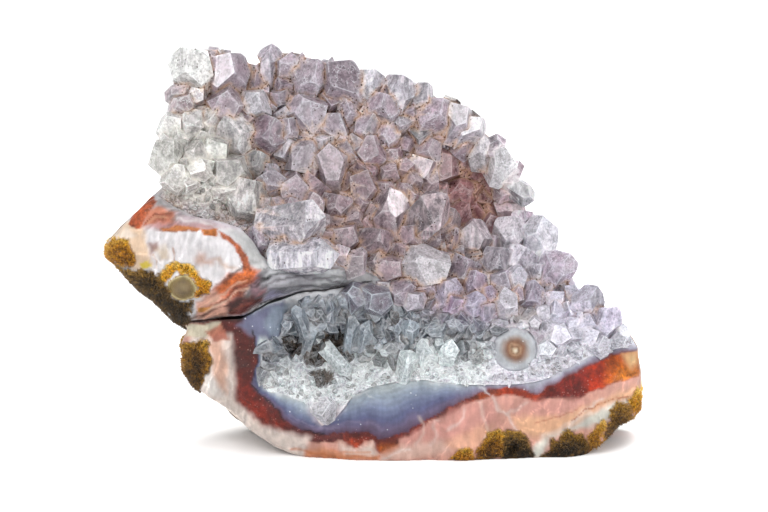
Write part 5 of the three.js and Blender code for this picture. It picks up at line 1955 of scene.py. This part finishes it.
def moss_material():
    material, tree, shader = new_material("moss_fibre")
    color = multiply(tree, attribute(tree, "moss_color", "Color"), pattern(tree, FIBRE_TONES))
    feed(tree, shader, {"Base Color": color, "Roughness": FIBRE_ROUGHNESS})
    bump(tree, shader, noise(tree, *FIBRE_BUMPS), FIBRE_BUMP)
    return material


def rind_color(tree):
    """Brown crust with olive patches, dark pits and pale flecks."""
    brown = ramp(tree, noise(tree, *BROWN_NOISE), node_stops(RIND_BROWN))
    olive = ramp(tree, noise(tree, *OLIVE_NOISE), node_stops(RIND_OLIVE))
    color = mix(tree, pattern(tree, OLIVE_PATCHES), brown, olive)
    color = multiply(tree, color, pattern(tree, RIND_CLOUDS))
    color = mix(tree, pattern(tree, RIND_PITS), color, node_color(PIT_COLOR))
    return mix(tree, pattern(tree, RIND_FLECKS), color, node_color(FLECK_COLOR))


def quartz_material():
    material, tree, shader = new_material("quartz_crystal")
    fine = noise(tree, *FINE_NOISE)
    patches = noise(tree, *PATCH_NOISE)
    milk = times(tree, attribute(tree, "milk"), span(tree, fine, *MILK_GRAIN))
    color, cover = stained(tree, crystal_color(tree, fine, patches, milk), patches)
    clear = times(tree, span(tree, milk, 0, 1, *CLARITY), span(tree, cover, 0, 1, 1, STAINED_CLARITY))
    feed(tree, shader, {
        "Base Color": color,
        "Roughness": span(tree, fine, *ROUGH_GRAIN, *QUARTZ_ROUGHNESS),
        "Transmission Weight": clear,
        "IOR": QUARTZ_IOR,
        "Specular IOR Level": QUARTZ_SPECULAR,
        **under_light(*QUARTZ_GLOW),
    })
    sugar = times(tree, cell_distance(tree, SUGAR_CELL), attribute(tree, "sugar"))
    rough = times(tree, noise(tree, *QUARTZ_BUMPS), QUARTZ_ROUGH)
    bump(tree, shader, math_node(tree, "ADD", sugar, rough), QUARTZ_BUMP)
    return material


def crystal_color(tree, fine, patches, milk):
    """The clean crystals: their tints and hue, streaks of painted reflection, painted light and shade on
    each face, clouds, inner depth and painted highlights on the edges.
    """
    tint_and_shade = attribute(tree, "tint_and_shade", "Color")
    color = tinted(tree, tint_and_shade, ramp(tree, attribute(tree, "mauve"), MAUVE_HUES))
    color = tinted(tree, color, painted_glass_reflections(tree, milk))
    color = multiply(tree, color, facet_painted_light(tree))
    color = multiply(tree, color, span(tree, fine, *CRYSTAL_GRAIN))
    clouds = toward(tree, pattern(tree, INNER_CLOUDS), 1.0, attribute(tree, "sugar"))
    color = multiply(tree, color, clouds)
    color = mix(tree, inner_depth(tree), color, tinted(tree, color, INNER_HUE))
    return mix(tree, highlights_and_veils(tree, patches), color, mix(tree, HIGHLIGHT_AND_VEIL_WHITENESS, tint_and_shade, HIGHLIGHT_AND_VEIL_WHITE))


def stained(tree, color, patches):
    """Tan and brown seams and dark grains on a colour, and how much of it they cover."""
    seam = attribute(tree, "seam")
    stain = attribute(tree, "stain")
    tan = mix(tree, stain, attribute(tree, "tint_and_shade", "Color"), node_color(SEAM_TAN))
    glow = times(tree, span(tree, seam, *GLOW_REACH), span(tree, patches, *GLOW_PATCHES))
    line, grains = (times(tree, amount, stain) for amount in seam_dirt(tree, seam))
    flecks = times(tree, specks(tree), span(tree, stain, 0, 1, CLEAN_SPECKS, 1))
    color = mix(tree, glow, color, tan)
    color = mix(tree, line, color, node_color(DIRT_COLOR))
    color = mix(tree, largest(tree, grains, flecks), color, node_color(SPECK_COLOR))
    return color, largest(tree, glow, line, grains, flecks)


def facet_painted_light(tree):
    """Painted light and shade: each face lighter or darker at random, as differently turned faces catch the
    light; more so in clear crystals and less among the fine grains.
    """
    facet = attribute(tree, "facet")
    facet = toward(tree, facet, GRAIN_FACET, times(tree, attribute(tree, "sugar"), GRAIN_SAMENESS))
    clear = span(tree, attribute(tree, "milk"), *CLEAR_FACES)
    facet = toward(tree, facet, MIDDLE_FACET, times(tree, clear, -CLEAR_CONTRAST))
    limits = (QUARTZ_SHADE * limit for limit in FACET_PAINTED_LIGHT)
    return span(tree, facet, 0, 1, *limits, clamp=False)


def inner_depth(tree):
    """1 in the middle of mauve faces and 0 at their edges."""
    inner = math_node(tree, "MINIMUM", attribute(tree, "seam"), attribute(tree, "ridge"))
    mauve = span(tree, attribute(tree, "mauve"), *DEPTH_HUES)
    return times(tree, span(tree, inner, *DEPTH_REACH), mauve)


def painted_glass_reflections(tree, milk):
    """Painted reflections and shade: streaks of light and dark that clear crystals show inside."""
    streaks = ramp(tree, noise(tree, *GLASS_NOISE), GLASS_PAINTED_REFLECTIONS)
    return mix(tree, span(tree, milk, *CLEAR_REFLECTION_STREAKS), (1.0, 1.0, 1.0), streaks)


def highlights_and_veils(tree, patches):
    """Painted highlights along the faces' edges, thin inner veils and growth lines on some faces."""
    # Painted highlight along the crystals' edges, stronger among the fine grains and fragments
    rim = span(tree, attribute(tree, "ridge"), *RIM_HIGHLIGHT_SHAPE)
    rim = times(tree, rim, span(tree, patches, *RIM_HIGHLIGHT_PATCHES))
    rim = times(tree, rim, span(tree, attribute(tree, "sugar"), 0, BROKEN_GRAIN, *RIM_HIGHLIGHT_STRENGTH))
    folded = math_node(tree, "SUBTRACT", noise(tree, *VEIL_NOISE), 0.5)
    veil = span(tree, times(tree, folded, folded), *VEIL_SHAPE)
    return largest(tree, rim, times(tree, veil, pattern(tree, VEIL_PLACES)), growth_lines(tree))


def growth_lines(tree):
    """Fine parallel lines on some faces of clear crystals."""
    inputs = {"Vector": object_place(tree), "Scale": GROWTH_RATE, "Distortion": GROWTH_WAVINESS}
    lines = span(tree, add_node(tree, "TexWave", inputs).outputs["Fac"], *GROWTH_SHAPE)
    lines = times(tree, lines, span(tree, attribute(tree, "facet"), *LINED_FACETS))
    return times(tree, lines, span(tree, attribute(tree, "milk"), *LINED_CRYSTALS))


def seam_dirt(tree, seam):
    """A broken thin line along the seams, and grains beside it."""
    line = times(tree, span(tree, seam, *DIRT_SHAPE), pattern(tree, DIRT_PLACES))
    line = times(tree, line, pattern(tree, DIRT_BREAKS))
    grains = times(tree, dots(tree, *GRAIN_DOTS), span(tree, seam, *GRAIN_REACH))
    return line, times(tree, grains, pattern(tree, GRAIN_PLACES))


def specks(tree):
    """Small dark grains in clusters."""
    return times(tree, dots(tree, *SPECK_DOTS), pattern(tree, SPECK_PLACES))


# Stage
def make_camera():
    data = bpy.data.cameras.new("camera")
    data.lens = LENS
    data.sensor_width = SENSOR
    camera = add_object("camera", data)
    camera.location = (Vector(AIM - BOX_MIDDLE) + VIEW_DISTANCE * SIGHT) * MM
    camera.rotation_euler = (math.pi / 2 - VIEW_ELEVATION, 0, 0)
    bpy.context.scene.camera = camera


def make_light(name, place, size, power):
    data = bpy.data.lights.new(name, "AREA")
    data.shape = "RECTANGLE"
    data.size, data.size_y = size
    data.energy = power
    light = add_object(name, data)
    light.location = place
    light.rotation_euler = (Vector(LIGHT_AIM) - Vector(place)).to_track_quat("-Z", "Y").to_euler()


def make_world():
    """A pale studio, brighter above and below, with patches for the crystals to mirror."""
    world = bpy.data.worlds.new("studio")
    world.use_nodes = True
    tree = world.node_tree
    place = add_node(tree, "TexCoord", {}).outputs["Generated"]
    height = split_axes(tree, place)["Z"]
    cells = add_node(tree, "TexVoronoi", {"Vector": place, "Scale": STUDIO_CELLS})
    patches = span(tree, split_axes(tree, cells.outputs["Color"])["X"], *STUDIO_TONES, *STUDIO_PATCHES)
    patches = toward(tree, 1.0, patches, span(tree, height, *STUDIO_HORIZON))
    glow = multiply(tree, ramp(tree, height, STUDIO_GLOW), patches)
    feed(tree, tree.nodes["Background"], {"Color": glow, "Strength": 1.0})
    bpy.context.scene.world = world


def split_axes(tree, vector):
    return add_node(tree, "SeparateXYZ", {0: vector}).outputs


def make_floor():
    corners = [(-1, -1, 0), (1, -1, 0), (1, 1, 0), (-1, 1, 0)]
    floor = new_object("floor", FLOOR_SIZE / 2 * np.array(corners), [(0, 1, 2, 3)])
    material, tree, shader = new_material("pale_floor")
    feed(tree, shader, {"Base Color": FLOOR_COLOR, "Roughness": FLOOR_ROUGHNESS})
    floor.data.materials.append(material)


make_camera()
make_world()
make_floor()
for light in LIGHTS:
    make_light(*light)
for number, place in enumerate(SPARK_PLACES):
    make_light(f"spark_{number}", place, SPARK_SIZE, SPARK_POWER)
bpy.context.scene.view_settings.view_transform = "Standard"

make_rock(rock_material())
make_crust(quartz_material())
